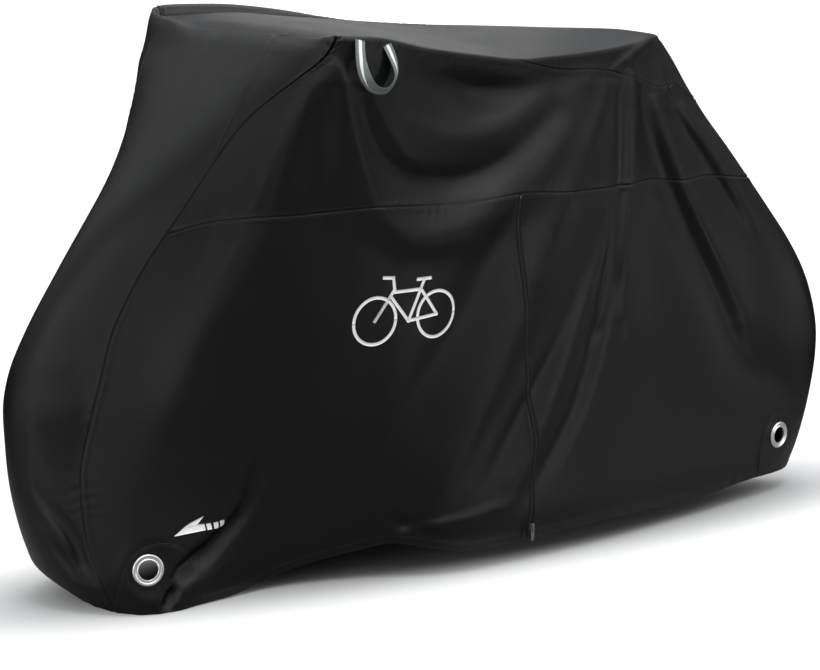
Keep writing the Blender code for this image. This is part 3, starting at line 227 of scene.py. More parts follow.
FRONT_OUTLINE = (  # height, x, on the centre line
    (0.00, -0.785),
    (0.03, -0.824),
    (0.06, -0.855),
    (0.10, -0.873),
    (0.16, -0.891),
    (0.22, -0.903),
    (0.30, -0.910),
    (0.39, -0.909),
    (0.44, -0.896),
    (0.50, -0.868),
    (0.60, -0.808),
    (0.70, -0.738),
    (0.80, -0.659),
    (0.90, -0.582),
    (1.00, -0.505),
    (1.06, -0.460),
)
REAR_OUTLINE = (  # height, x, on the centre line
    (0.047, 0.886),
    (0.08, 0.905),
    (0.15, 0.932),
    (0.22, 0.950),
    (0.29, 0.961),
    (0.35, 0.961),
    (0.42, 0.945),
    (0.49, 0.915),
    (0.56, 0.869),
    (0.63, 0.812),
    (0.70, 0.753),
    (0.77, 0.693),
    (0.84, 0.630),
    (0.90, 0.583),
    (0.96, 0.541),
    (1.00, 0.508),
)
WIDTH_HEIGHTS = (0.02, 0.35, 0.72, 0.96)
HALF_WIDTHS = (  # x, at the hem, at the wheels' axles, at the waist seam, at the shoulder
    (-0.80, 0.190, 0.126, 0.165, 0.360),
    (-0.70, 0.188, 0.158, 0.190, 0.368),
    (-0.60, 0.165, 0.185, 0.245, 0.374),
    (-0.50, 0.152, 0.208, 0.300, 0.378),
    (-0.42, 0.158, 0.232, 0.318, 0.374),
    (-0.30, 0.182, 0.245, 0.305, 0.345),
    (-0.15, 0.250, 0.255, 0.268, 0.278),
    (0.05, 0.250, 0.240, 0.225, 0.205),
    (0.25, 0.225, 0.200, 0.168, 0.138),
    (0.45, 0.175, 0.148, 0.110, 0.082),
    (0.60, 0.135, 0.118, 0.082, 0.060),
    (0.80, 0.082, 0.088, 0.062, 0.050),
    (0.96, 0.060, 0.062, 0.050, 0.050),
)
FRONT_ROUNDING = (  # height, how far back the front goes on widening
    (0.00, 0.050),
    (0.15, 0.090),
    (0.35, 0.120),
    (0.70, 0.120),
    (0.90, 0.070),
    (1.00, 0.030),
    (1.06, 0.015),
)
REAR_ROUNDING = 0.055
RIM = (  # x, height of the turn into the top, on the left and on the right
    (-0.47, 1.043, 1.043),
    (-0.42, 1.036, 1.049),
    (-0.33, 1.030, 1.052),
    (-0.23, 1.011, 1.049),
    (-0.15, 1.000, 1.045),
    (-0.05, 0.988, 1.037),
    (0.05, 0.978, 1.031),
    (0.13, 0.980, 1.029),
    (0.23, 0.983, 1.026),
    (0.31, 0.988, 1.023),
    (0.38, 0.995, 1.020),
    (0.44, 1.004, 1.014),
    (0.49, 1.006, 1.007),
)
RIM_ROUNDING = (  # x, radius on the left and on the right, share of it that is below the rim on each
    (-0.10, 0.012, 0.036, 0.70, 0.90),
    (0.15, 0.012, 0.030, 0.70, 0.85),
    (0.45, 0.012, 0.012, 0.70, 0.70),
)
RIM_ROUNDING_MOST = 0.6
RIM_MEETS = 0.03  # share of the length in which the two rims come to one height
GRIP_LUMP = {"lift": 0.042, "below_rim": 0.014, "reach": 0.022, "seam_fade": 0.007}
GRIP_LUMP_FROM = (0.06, 0.22)
GRIP_LUMP_RISES, GRIP_LUMP_FALLS = (-0.54, -0.40), (-0.30, 0.03)
BAR_TURN = 0.032
BAR_TURN_RISES, BAR_TURN_FALLS = (0.72, 1.0), (-0.38, 0.05)
BAR_HALF_LENGTH = 0.36
HEM = (  # x, height
    (-0.80, 0.003),
    (-0.60, 0.002),
    (-0.54, 0.004),
    (-0.49, 0.014),
    (-0.44, 0.033),
    (-0.38, 0.048),
    (-0.30, 0.064),
    (-0.24, 0.077),
    (-0.17, 0.066),
    (-0.10, 0.052),
    (0.00, 0.050),
    (0.14, 0.053),
    (0.30, 0.051),
    (0.45, 0.044),
    (0.58, 0.040),
    (0.70, 0.048),
    (0.86, 0.047),
)
FRONT_SEAM = (  # height, x
    (0.003, -0.761),
    (0.04, -0.780),
    (0.11, -0.803),
    (0.18, -0.811),
    (0.27, -0.808),
    (0.34, -0.791),
    (0.43, -0.766),
    (0.51, -0.742),
    (0.575, -0.712),
    (0.64, -0.679),
    (0.687, -0.653),
    (0.75, -0.620),
    (0.815, -0.586),
    (0.89, -0.540),
    (0.96, -0.482),
    (1.01, -0.436),
    (1.04, -0.420),
)
WAIST_SEAM = (  # x, height
    (-0.653, 0.687),
    (-0.60, 0.709),
    (-0.55, 0.721),
    (-0.46, 0.726),
    (-0.32, 0.733),
    (-0.23, 0.726),
    (-0.07, 0.724),
    (0.03, 0.729),
    (0.15, 0.721),
    (0.31, 0.717),
    (0.43, 0.722),
    (0.50, 0.714),
    (0.58, 0.717),
    (0.753, 0.700),
)
TOP_SEAM_DROP = (  # x, how far the top panel's left and right seams lie under the rim
    (0.04, 0.000),
    (0.10, 0.015),
    (0.16, 0.027),
    (0.25, 0.034),
    (0.31, 0.044),
    (0.38, 0.066),
    (0.48, 0.100),
    (0.55, 0.058),
    (0.605, 0.000),
)
ZIP_LINE = (  # height, x
    (0.05, 0.054),
    (0.15, 0.059),
    (0.23, 0.062),
    (0.34, 0.053),
    (0.46, 0.041),
    (0.56, 0.033),
    (0.73, ZIP_TOP_X),
)
EYELETS = (
    {"name": "front", "x": -0.711, "height": 0.085, "half_width": 0.165, "turn": 0.12, "lean": -0.10},
    {"name": "rear", "x": 0.809, "height": 0.134, "half_width": 0.078, "turn": -0.25, "lean": 0.03},
)
RING_FLAT = (0.034, 0.065)  # the ring holds the cloth flat up to the first distance
FOLDS = {  # each row: x, height, how wide, how far it stands out, how much wider on the line's left
    LEFT: (
        # the ridge from the end of the handlebar down beside the front seam
        ((-0.44, 0.985, 0.022, 0.005), (-0.458, 0.945, 0.026, 0.010), (-0.494, 0.867, 0.032, 0.014, 0.3),
         (-0.522, 0.794, 0.036, 0.016, 0.4), (-0.562, 0.662, 0.040, 0.017, 0.4), (-0.612, 0.529, 0.042, 0.014, 0.3),
         (-0.648, 0.397, 0.044, 0.009), (-0.670, 0.301, 0.050, 0.003)),
        # the ridge from the same place down to the waist, and the cloth drawn in between the two
        ((-0.420, 0.975, 0.018, 0.005, -0.3), (-0.396, 0.901, 0.028, 0.010, -0.3), (-0.350, 0.797, 0.034, 0.012, -0.3),
         (-0.300, 0.718, 0.034, 0.009, -0.3), (-0.245, 0.660, 0.030, 0.004)),
        ((-0.440, 0.93, 0.018, -0.004), (-0.445, 0.86, 0.026, -0.006), (-0.430, 0.74, 0.034, -0.006),
         (-0.40, 0.62, 0.040, -0.003)),
        # the hollow under the top seam, and the belly below it
        ((-0.25, 0.965, 0.022, -0.006), (-0.17, 0.945, 0.028, -0.018), (-0.06, 0.925, 0.034, -0.034, -0.2),
         (0.06, 0.922, 0.032, -0.020, -0.2), (0.17, 0.935, 0.024, -0.006)),
        ((-0.26, 0.885, 0.022, 0.004), (-0.18, 0.850, 0.028, 0.010), (-0.08, 0.845, 0.030, 0.012),
         (0.03, 0.875, 0.026, 0.008), (0.12, 0.915, 0.020, 0.003)),
        # the swag from under the loop, across and up to the saddle, and the long slope out below it
        ((-0.365, 0.915, 0.018, -0.006), (-0.330, 0.850, 0.022, -0.013), (-0.265, 0.792, 0.026, -0.018, -0.2),
         (-0.18, 0.768, 0.030, -0.020, -0.2), (-0.09, 0.765, 0.032, -0.020, -0.2), (0.02, 0.802, 0.030, -0.016, -0.2),
         (0.14, 0.875, 0.026, -0.009)),
        ((-0.30, 0.71, 0.026, 0.004), (-0.235, 0.672, 0.036, 0.015, 0.1), (-0.16, 0.668, 0.044, 0.021, 0.1),
         (-0.06, 0.690, 0.050, 0.023, 0.1), (0.04, 0.740, 0.050, 0.022, 0.1), (0.14, 0.825, 0.040, 0.016, 0.1),
         (0.235, 0.920, 0.024, 0.006)),
        # the broad diagonal trough from the saddle to the hem, and the crest behind it
        ((0.215, 0.900, 0.022, -0.004), (0.100, 0.800, 0.040, -0.010), (0.010, 0.700, 0.046, -0.013),
         (-0.090, 0.520, 0.050, -0.015), (-0.195, 0.350, 0.052, -0.014), (-0.275, 0.200, 0.050, -0.009),
         (-0.310, 0.130, 0.045, -0.004)),
        ((0.290, 0.905, 0.018, 0.004), (0.222, 0.806, 0.034, 0.010, -0.2), (0.155, 0.700, 0.042, 0.013, -0.2),
         (0.042, 0.520, 0.046, 0.014, -0.25), (-0.062, 0.345, 0.046, 0.013, -0.25),
         (-0.150, 0.200, 0.042, 0.008, -0.2), (-0.185, 0.135, 0.036, 0.003)),
        # two narrow troughs behind that, with a pit in the second, and the crest between them
        ((0.130, 0.440, 0.012, -0.002), (0.092, 0.385, 0.016, -0.006), (0.050, 0.328, 0.018, -0.008),
         (-0.010, 0.240, 0.020, -0.007), (-0.050, 0.180, 0.022, -0.003)),
        ((0.338, 0.90, 0.012, -0.004), (0.326, 0.743, 0.018, -0.007), (0.300, 0.621, 0.020, -0.009),
         (0.268, 0.509, 0.020, -0.012), (0.238, 0.420, 0.020, -0.015), (0.186, 0.312, 0.020, -0.013),
         (0.120, 0.222, 0.020, -0.010), (0.060, 0.150, 0.022, -0.005)),
        ((0.257, 0.452, 0.009, -0.002), (0.245, 0.432, 0.010, -0.005), (0.234, 0.416, 0.009, -0.002)),
        ((0.262, 0.60, 0.018, 0.004), (0.205, 0.500, 0.022, 0.008), (0.118, 0.340, 0.024, 0.010),
         (0.030, 0.195, 0.022, 0.008), (-0.015, 0.130, 0.022, 0.003)),
        # the cone below the back of the saddle, and two troughs behind it, each with a crest
        ((0.372, 0.95, 0.012, 0.005), (0.370, 0.896, 0.020, 0.011, 0.3), (0.350, 0.742, 0.028, 0.013, 0.5),
         (0.325, 0.600, 0.034, 0.012, 0.6), (0.320, 0.470, 0.040, 0.006, 0.5)),
        ((0.415, 0.90, 0.014, -0.003), (0.418, 0.856, 0.022, -0.009, -0.3), (0.468, 0.730, 0.028, -0.013, -0.4),
         (0.525, 0.618, 0.032, -0.014, -0.4), (0.608, 0.468, 0.038, -0.013, -0.3), (0.682, 0.325, 0.042, -0.009, -0.3),
         (0.770, 0.210, 0.040, -0.003)),
        ((0.446, 0.88, 0.012, 0.004), (0.460, 0.840, 0.018, 0.007, 0.2), (0.508, 0.730, 0.024, 0.009, 0.2),
         (0.567, 0.618, 0.028, 0.009, 0.3), (0.655, 0.468, 0.034, 0.007, 0.2), (0.730, 0.325, 0.036, 0.003)),
        ((0.490, 0.88, 0.012, -0.003), (0.510, 0.845, 0.018, -0.008, -0.3), (0.586, 0.755, 0.024, -0.011, -0.3),
         (0.653, 0.663, 0.028, -0.011, -0.3), (0.722, 0.547, 0.034, -0.006)),
        ((0.534, 0.86, 0.012, 0.003), (0.618, 0.755, 0.022, 0.006, 0.2), (0.688, 0.663, 0.026, 0.006, 0.2),
         (0.755, 0.547, 0.034, 0.003)),
        ((0.72, 0.36, 0.040, -0.004), (0.77, 0.29, 0.040, -0.009), (0.84, 0.22, 0.040, -0.004)),
        # the pinched crease at the back of the saddle
        ((0.315, 0.944, 0.006, 0.002), (0.359, 0.964, 0.009, 0.007), (0.412, 0.988, 0.009, 0.006),
         (0.445, 1.000, 0.007, 0.002)),
        # the hem hangs a little inwards; over it lies a fold with a crease
        ((-0.60, 0.005, 0.040, -0.005), (-0.44, 0.035, 0.050, -0.012), (-0.24, 0.072, 0.045, -0.008),
         (0.00, 0.048, 0.050, -0.011), (0.30, 0.050, 0.055, -0.014), (0.60, 0.040, 0.055, -0.011),
         (0.72, 0.045, 0.045, -0.004)),
        ((-0.245, 0.135, 0.012, -0.003), (-0.212, 0.112, 0.014, -0.009), (-0.180, 0.100, 0.012, -0.007),
         (-0.15, 0.092, 0.012, -0.002)),
        ((-0.225, 0.092, 0.012, 0.004), (-0.186, 0.108, 0.014, 0.008, -0.3), (-0.092, 0.122, 0.013, 0.007, -0.4),
         (0.006, 0.132, 0.016, 0.003)),
        # the trough that runs past the arrow to the front eyelet, and its two pockets
        ((-0.468, 0.300, 0.028, -0.003), (-0.500, 0.235, 0.022, -0.009), (-0.526, 0.168, 0.016, -0.014, 0.2),
         (-0.578, 0.115, 0.018, -0.024, 0.2), (-0.616, 0.088, 0.020, -0.030, 0.2), (-0.652, 0.070, 0.016, -0.024),
         (-0.676, 0.060, 0.010, -0.010)),
        ((-0.650, 0.050, 0.010, -0.008), (-0.668, 0.034, 0.012, -0.020), (-0.678, 0.018, 0.011, -0.014)),
        ((-0.610, 0.062, 0.014, 0.003), (-0.640, 0.045, 0.012, 0.007), (-0.652, 0.022, 0.012, 0.004)),
        # the strip's folds, which run together at the hem
        ((-0.885, 0.270, 0.012, -0.003), (-0.860, 0.208, 0.013, -0.010), (-0.832, 0.158, 0.012, -0.013),
         (-0.818, 0.109, 0.010, -0.010), (-0.806, 0.070, 0.008, -0.003)),
        ((-0.868, 0.150, 0.009, -0.004), (-0.851, 0.121, 0.010, -0.010), (-0.837, 0.100, 0.009, -0.010),
         (-0.823, 0.070, 0.008, -0.004)),
        ((-0.896, 0.231, 0.010, 0.003), (-0.872, 0.186, 0.010, 0.008), (-0.846, 0.138, 0.009, 0.008),
         (-0.825, 0.085, 0.008, 0.003)),
    ),
    RIGHT: (
        ((-0.46, 0.96, 0.035, 0.004), (-0.52, 0.80, 0.045, 0.010), (-0.58, 0.60, 0.045, 0.010),
         (-0.64, 0.42, 0.050, 0.005)),
        ((-0.38, 0.95, 0.030, -0.005), (-0.35, 0.82, 0.035, -0.011), (-0.28, 0.66, 0.040, -0.009),
         (-0.22, 0.52, 0.045, -0.003)),
        ((-0.27, 0.96, 0.030, -0.004), (-0.12, 0.90, 0.040, -0.012), (0.06, 0.91, 0.035, -0.008),
         (0.20, 0.95, 0.030, -0.003)),
        ((-0.30, 0.86, 0.030, 0.004), (-0.14, 0.80, 0.035, 0.010), (0.05, 0.82, 0.035, 0.009),
         (0.22, 0.90, 0.030, 0.004)),
        ((0.26, 0.94, 0.030, -0.004), (0.18, 0.74, 0.045, -0.012), (0.07, 0.54, 0.055, -0.013),
         (-0.05, 0.34, 0.060, -0.010), (-0.14, 0.16, 0.060, -0.004)),
        ((0.30, 0.86, 0.030, 0.004), (0.26, 0.66, 0.040, 0.010), (0.17, 0.45, 0.045, 0.012),
         (0.08, 0.24, 0.045, 0.006)),
        ((0.36, 0.92, 0.025, -0.004), (0.37, 0.74, 0.030, -0.011), (0.34, 0.54, 0.035, -0.012),
         (0.27, 0.34, 0.040, -0.008), (0.20, 0.16, 0.040, -0.003)),
        ((0.43, 0.88, 0.030, 0.004), (0.46, 0.70, 0.045, 0.010), (0.49, 0.50, 0.060, 0.010),
         (0.52, 0.30, 0.060, 0.004)),
        ((0.52, 0.84, 0.025, -0.004), (0.58, 0.66, 0.035, -0.009), (0.66, 0.46, 0.045, -0.007),
         (0.72, 0.32, 0.050, -0.003)),
        ((-0.48, 0.30, 0.035, -0.003), (-0.54, 0.20, 0.035, -0.009), (-0.60, 0.12, 0.030, -0.005)),
        ((-0.36, 0.44, 0.050, 0.003), (-0.33, 0.28, 0.050, 0.009), (-0.32, 0.14, 0.045, 0.005)),
    ),
}
FOLD_DEPTH = {LEFT: 1.0, RIGHT: 1.5}
FOLD_FADE = 0.02

# The grid of a panel: close lines beside its seams, then even steps.
SEAM_STEPS = (0.0, 0.0012, 0.0026, 0.0045, 0.0066, 0.0085, 0.0110)
STEP = {LEFT: 0.0053, RIGHT: 0.0088}
REAR_CROWDS, RIM_CROWDS = 0.7, 0.35

# Relief of a sewn seam, by the distance from it: a groove, the doubled cloth and a row of stitches.
GROOVE = {"depth": 0.0012, "width": 0.0014}
DOUBLED = {"height": 0.0007, "from": 0.0012, "to": 0.0026, "end": 0.0085, "gone": 0.0110}
STITCHES = {"away": 0.0066, "dent": 0.0004, "width": 0.0012}
PUCKER = {"height": 0.0008, "reach": 0.016, "from_seam": 0.003, "length": 0.017, "drift": 0.13}
ROLLED = {"from": 0.93, "to": 1.02, "more": 2.2}  # heights where a seam is pulled into two tight rolls
HEM_TURNED = {"height": 0.0008, "deep": 0.018, "soft": 0.003, "stitches": 0.0155, "dent": 0.0005}
HEM_PUCKER = {"height": 0.0006, "length": 0.047, "reach": 0.020}


def through(rows, at, column=1):
    """The height of a soft curve through the rows, which start with their place along it."""
    places = np.array([row[0] for row in rows])
    values = np.array([row[column] for row in rows])
    slopes = np.gradient(values, places)
    at = np.clip(at, places[0], places[-1])
    i = np.clip(np.searchsorted(places, at) - 1, 0, len(places) - 2)
    step = places[i + 1] - places[i]
    t = (at - places[i]) / step
    rise = (1 + 2 * t) * (1 - t) ** 2 * values[i] + t**2 * (3 - 2 * t) * values[i + 1]
    return rise + step * t * (1 - t) * ((1 - t) * slopes[i] - t * slopes[i + 1])


def soft_step(at, start, end):
    """0 before start and 1 after end, with a soft change between."""
    t = np.clip((at - start) / (end - start), 0, 1)
    return t * t * (3 - 2 * t)


def half_width(x, height):
    """Half of the cover's width, between the table's four heights on a soft curve."""
    columns = [through(HALF_WIDTHS, x, 1 + i) for i in range(len(WIDTH_HEIGHTS))]
    places = np.array(WIDTH_HEIGHTS)
    slopes = np.gradient(np.array(columns), places, axis=0)
    inside = np.clip(height, places[0], places[-1])
    total = np.zeros(np.broadcast(x, height).shape)
    for i in range(len(places) - 1):
        step = places[i + 1] - places[i]
        t = (inside - places[i]) / step
        here = (t >= 0) & ((t < 1) | (i == len(places) - 2))
        rise = (1 + 2 * t) * (1 - t) ** 2 * columns[i] + t**2 * (3 - 2 * t) * columns[i + 1]
        rise = rise + step * t * (1 - t) * ((1 - t) * slopes[i] - t * slopes[i + 1])
        total = np.where(here, rise, total)
    return total


def rim_height(x, side, share=1.0):
    """The height at which the side turns over into the top. Both sides meet at the front's centre line."""
    on_left, on_right = through(RIM, x, 1), through(RIM, x, 2)
    middle = (on_left + on_right) / 2
    on_rim = middle + ((on_left if side == LEFT else on_right) - middle) * soft_step(share, 0, RIM_MEETS)
    ridge = [row for row in REAR_OUTLINE if row[0] > 0.5][::-1]
    behind = np.interp(x, [row[1] for row in ridge], [row[0] for row in ridge])
    return np.where(x > RIM[-1][0], np.minimum(on_rim, behind), on_rim)


def share_at(x, height):
    """Where x lies between the front and the rear outline: 0 at the front and 1 at the rear."""
    front, rear = through(FRONT_OUTLINE, height), through(REAR_OUTLINE, height)
    return np.arccos(np.clip(1 - 2 * (x - front) / (rear - front), -1, 1)) / math.pi


def fold_lift(fold, x, height, samples=40):
    """One fold: the nearest place along its line says how wide and how deep it is there."""
    ends = np.linspace(0, len(fold) - 1, samples)
    rows = [(i, *row, *((0,) * (5 - len(row)))) for i, row in enumerate(fold)]
    line_x, line_height, wide, lift, skew = (through(rows, ends, column) for column in range(1, 6))
    x, height = np.broadcast_arrays(x, height)
    reach = 2.6 * wide.max()
    near = (x > line_x.min() - reach) & (x < line_x.max() + reach)
    near &= (height > line_height.min() - reach) & (height < line_height.max() + reach)
    at_x, at_height = x[near], height[near]
    nearest = np.full(at_x.shape, 1e9)
    result = np.zeros(at_x.shape)
    for i in range(samples - 1):
        run = np.array([line_x[i + 1] - line_x[i], line_height[i + 1] - line_height[i]])
        t = ((at_x - line_x[i]) * run[0] + (at_height - line_height[i]) * run[1]) / (run @ run)
        t = np.clip(t, 0, 1)
        away = np.hypot(at_x - line_x[i] - t * run[0], at_height - line_height[i] - t * run[1])
        beside = run[0] * (at_height - line_height[i]) - run[1] * (at_x - line_x[i])
        here_wide = (wide[i] + t * (wide[i + 1] - wide[i])) * (1 + skew[i] * np.sign(beside))
        here_lift = lift[i] + t * (lift[i + 1] - lift[i])
        closer = away < nearest
        nearest = np.where(closer, away, nearest)
        result = np.where(closer, here_lift * np.exp(-((away / here_wide) ** 2)), result)
    total = np.zeros(x.shape)
    total[near] = result
    return total


def folds_at(x, height, side):
    """How far the folds lift the cloth at these places."""
    return FOLD_DEPTH[side] * sum(fold_lift(fold, x, height) for fold in FOLDS[side])


def grip_lump(x, below_rim):
    """How far the right-hand grip lifts the cloth."""
    along_it = soft_step(x, *GRIP_LUMP_RISES) * (1 - soft_step(x, *GRIP_LUMP_FALLS))
    across = np.exp(-(((below_rim - GRIP_LUMP["below_rim"]) / GRIP_LUMP["reach"]) ** 2))
    across = across * (1 - np.exp(-np.maximum(below_rim, 0) / GRIP_LUMP["seam_fade"]))
    return GRIP_LUMP["lift"] * along_it * across


def flat_at_eyelets(x, height, width):
    """The rings hold the cloth flat round the eyelets."""
    for row in EYELETS:
        plane = row["half_width"] + row["turn"] * (x - row["x"]) + row["lean"] * (height - row["height"])
        away = np.hypot(x - row["x"], height - row["height"])
        share = 1 - soft_step(away, *RING_FLAT)
        width = width + (plane - width) * share
    return width


def skirt(share, height, side):
    """Points on the front, sides and rear of the cover, for shares of its length and heights."""
    front, rear = through(FRONT_OUTLINE, height), through(REAR_OUTLINE, height)
    x = front + (rear - front) * (1 - np.cos(math.pi * share)) / 2
    behind_front, before_rear = np.maximum(x - front, 0), np.maximum(rear - x, 0)
    width = half_width(x, height)
    width = width * np.sqrt(1 - np.exp(-behind_front / through(FRONT_ROUNDING, height)))
    width = width * np.sqrt(1 - np.exp(-before_rear / REAR_ROUNDING))
    radius = through(RIM_ROUNDING, x, 1 if side == LEFT else 2)
    radius = np.minimum(radius, width * RIM_ROUNDING_MOST + 1e-6)
    below = radius * through(RIM_ROUNDING, x, 3 if side == LEFT else 4)
    over = np.clip(height - rim_height(x, side, share) + below, 0, below)
    width = width - radius + np.sqrt(radius**2 - over**2)
    ends = (1 - np.exp(-behind_front / FOLD_FADE)) * (1 - np.exp(-before_rear / FOLD_FADE))
    width = width + folds_at(x, height, side) * ends
    width = flat_at_eyelets(x, height, width)
    points = np.stack([x, side * width, height + 0 * x], axis=-1)
    if side == RIGHT:
        turned = soft_step(height, *BAR_TURN_RISES) * (1 - soft_step(x, *BAR_TURN_FALLS))
        points[..., 0] -= BAR_TURN * turned * np.minimum(width / BAR_HALF_LENGTH, 1)
        lump = grip_lump(x, rim_height(x, side, share) - height)
        points[..., 2] += lump * soft_step(width, *GRIP_LUMP_FROM)
    return points


def on_skirt(places, side):
    """(x, height) places as points on the cover."""
    return skirt(share_at(places[..., 0], places[..., 1]), places[..., 1], side)


def spaced(length, step):
    """Shares of a length: close together at both of its ends, where the seams are, then even."""
    close = np.array(SEAM_STEPS)
    count = max(int(round((length - 2 * close[-1]) / step)), 2)
    middle = np.linspace(close[-1], length - close[-1], count + 1)[1:-1]
    return np.concatenate([close, middle, length - close[::-1]]) / length


def towards_rear(shares):
    """The same shares, but they crowd towards the end, where the cloth turns round the rear."""
    return REAR_CROWDS * np.sin(shares * math.pi / 2) + (1 - REAR_CROWDS) * shares


def up_to_rim(shares):
    """The same shares, but a little closer towards the rim."""
    return shares * (1 + RIM_CROWDS - RIM_CROWDS * shares)


def along(rows, start, end, shares):
    """A lengthwise seam or hem between two of its places."""
    x = start[0] + (end[0] - start[0]) * shares
    line = np.stack([x, through(rows, x)], axis=-1)
    line[0], line[-1] = start, end
    return line


def front_edge(heights):
    """The front seam at these heights."""
    return np.stack([through(FRONT_SEAM, heights), heights], axis=-1)


def rear_edge(heights):
    """The seam on the centre line at the rear, at these heights."""
    return np.stack([through(REAR_OUTLINE, heights), heights], axis=-1)


def zip_edge(offset, shares):
    """One edge of the zip, from the hem to the waist seam."""
    low = np.array([ZIP_LINE[0][1] + offset, float(through(HEM, ZIP_LINE[0][1] + offset))])
    high = np.array([ZIP_TOP_X + offset, float(through(WAIST_SEAM, ZIP_TOP_X + offset))])
    heights = low[1] + (high[1] - low[1]) * shares
    x = through(ZIP_LINE, heights) + offset
    x[0], x[-1] = low[0], high[0]
    return np.stack([x, heights], axis=-1)


def filled(left, right, bottom, top):
    """A grid of (x, height) places that fills the outline of four lines."""
    across = sum((line[:, 0] - line[0, 0]) / (line[-1, 0] - line[0, 0]) for line in (bottom, top))
    up = sum((line[:, 1] - line[0, 1]) / (line[-1, 1] - line[0, 1]) for line in (left, right))
    across, up = across[None, :, None] / 2, up[:, None, None] / 2
    grid = (1 - across) * left[:, None] + across * right[:, None]
    grid = grid + (1 - up) * bottom[None] + up * top[None]
    corners = (1 - across) * (1 - up) * bottom[0] + across * (1 - up) * bottom[-1]
    corners = corners + (1 - across) * up * top[0] + across * up * top[-1]
    return grid - corners


def facing_out(grid):
    """The grid with its columns turned round where needed, so that its faces look out of the cover."""
    normals = np.cross(grid[1:, 1:] - grid[:-1, :-1], grid[1:, :-1] - grid[:-1, 1:])
    middles = (grid[1:, 1:] + grid[:-1, :-1]) / 2
    core = middles * (1, 0, 0) + (0, 0, 0.5)
    core[..., 0] = np.clip(core[..., 0], -0.6, 0.6)
    return (normals * (middles - core)).sum() > 0


def normals_of(grid):
    """Unit normals at every point of a grid whose faces look out."""
    normals = np.cross(np.gradient(grid, axis=1), np.gradient(grid, axis=0))
    return normals / np.maximum(np.linalg.norm(normals, axis=-1, keepdims=True), 1e-12)


def lengths_along(grid, axis):
    """Lengths along the grid's lines in one direction, from their start."""
    steps = np.linalg.norm(np.diff(grid, axis=axis), axis=-1)
    start = np.zeros_like(np.take(steps, [0], axis=axis))
    return np.concatenate([start, np.cumsum(steps, axis=axis)], axis=axis)


def seam_relief(away, run, phase):
    """How far the cloth stands out beside a seam, by the distance from it and the length along it."""
    doubled = soft_step(away, DOUBLED["from"], DOUBLED["to"])
    doubled = doubled * (1 - soft_step(away, DOUBLED["end"], DOUBLED["gone"]))
    relief = DOUBLED["height"] * doubled - GROOVE["depth"] * np.exp(-((away / GROOVE["width"]) ** 2))
    relief = relief - STITCHES["dent"] * np.exp(-(((away - STITCHES["away"]) / STITCHES["width"]) ** 2))
    drift = 1.7 * np.sin(run / PUCKER["drift"] * 2 * math.pi + phase)
    wave = np.sin(run / PUCKER["length"] * 2 * math.pi + drift) * (0.6 + 0.4 * np.sin(run * 31 + 2 * phase))
    fade = np.exp(-away / PUCKER["reach"]) * (1 - np.exp(-away / PUCKER["from_seam"]))
    return relief + PUCKER["height"] * wave * fade


def hem_relief(away, run):
    """The turned edge of the cloth at the hem: doubled, stitched and a little drawn together."""
    relief = HEM_TURNED["height"] * (1 - soft_step(away, HEM_TURNED["deep"] - HEM_TURNED["soft"], HEM_TURNED["deep"]))
    relief = relief - HEM_TURNED["dent"] * np.exp(-(((away - HEM_TURNED["stitches"]) / STITCHES["width"]) ** 2))
    wave = np.sin(run / HEM_PUCKER["length"] * 2 * math.pi + 2.1 * np.sin(run * 9.0)) * (0.6 + 0.4 * np.sin(run * 23))
    return relief + HEM_PUCKER["height"] * wave * np.exp(-away / HEM_PUCKER["reach"])


def line_inside(grid, edge, distance):
    """The line in the cloth that runs at one distance from an edge of the grid."""
    turned = {"low": grid, "high": grid[::-1], "left": grid.transpose(1, 0, 2), "right": grid.transpose(1, 0, 2)[::-1]}
    lines = turned[edge]
    near = lengths_along(lines, 0)
    row = np.clip((near < distance).sum(axis=0), 1, len(lines) - 1)
    places = np.arange(lines.shape[1])
    before, after = near[row - 1, places], near[row, places]
    share = np.clip((distance - before) / np.maximum(after - before, 1e-9), 0, 1)[:, None]
    return lines[row - 1, places] * (1 - share) + lines[row, places] * share


stitch_lines = []  # the lines along which the seams are stitched, with the way out of the cloth


def sewn(grid, seams, rolled=()):
    """The grid with the relief of its seams. They are named by its edges: left, right, low, high, hem."""
    out = normals_of(grid) * (1 if facing_out(grid) else -1)
    up, over = lengths_along(grid, 0), lengths_along(grid, 1)
    total = np.zeros(grid.shape[:2])
    for phase, (edge, away, run) in enumerate((
        ("low", up, over),
        ("high", up[-1:] - up, over),
        ("left", over, up),
        ("right", over[:, -1:] - over, up),
    )):
        if edge in seams:
            relief = seam_relief(away, run, phase * 1.9)
            if edge in rolled:
                tight = soft_step(grid[..., 2], ROLLED["from"], ROLLED["to"])
                relief = relief * (1 + ROLLED["more"] * tight * (away < DOUBLED["gone"]))
            total = total + relief
    if "hem" in seams:
        total = total + hem_relief(up, over)
    grid = grid + out * total[..., None]
    for edge in seams:
        from_edge, name = (HEM_TURNED["stitches"], "low") if edge == "hem" else (STITCHES["away"], edge)
        stitch_lines.append((line_inside(grid, name, from_edge), line_inside(out, name, 0.0)))
    return grid


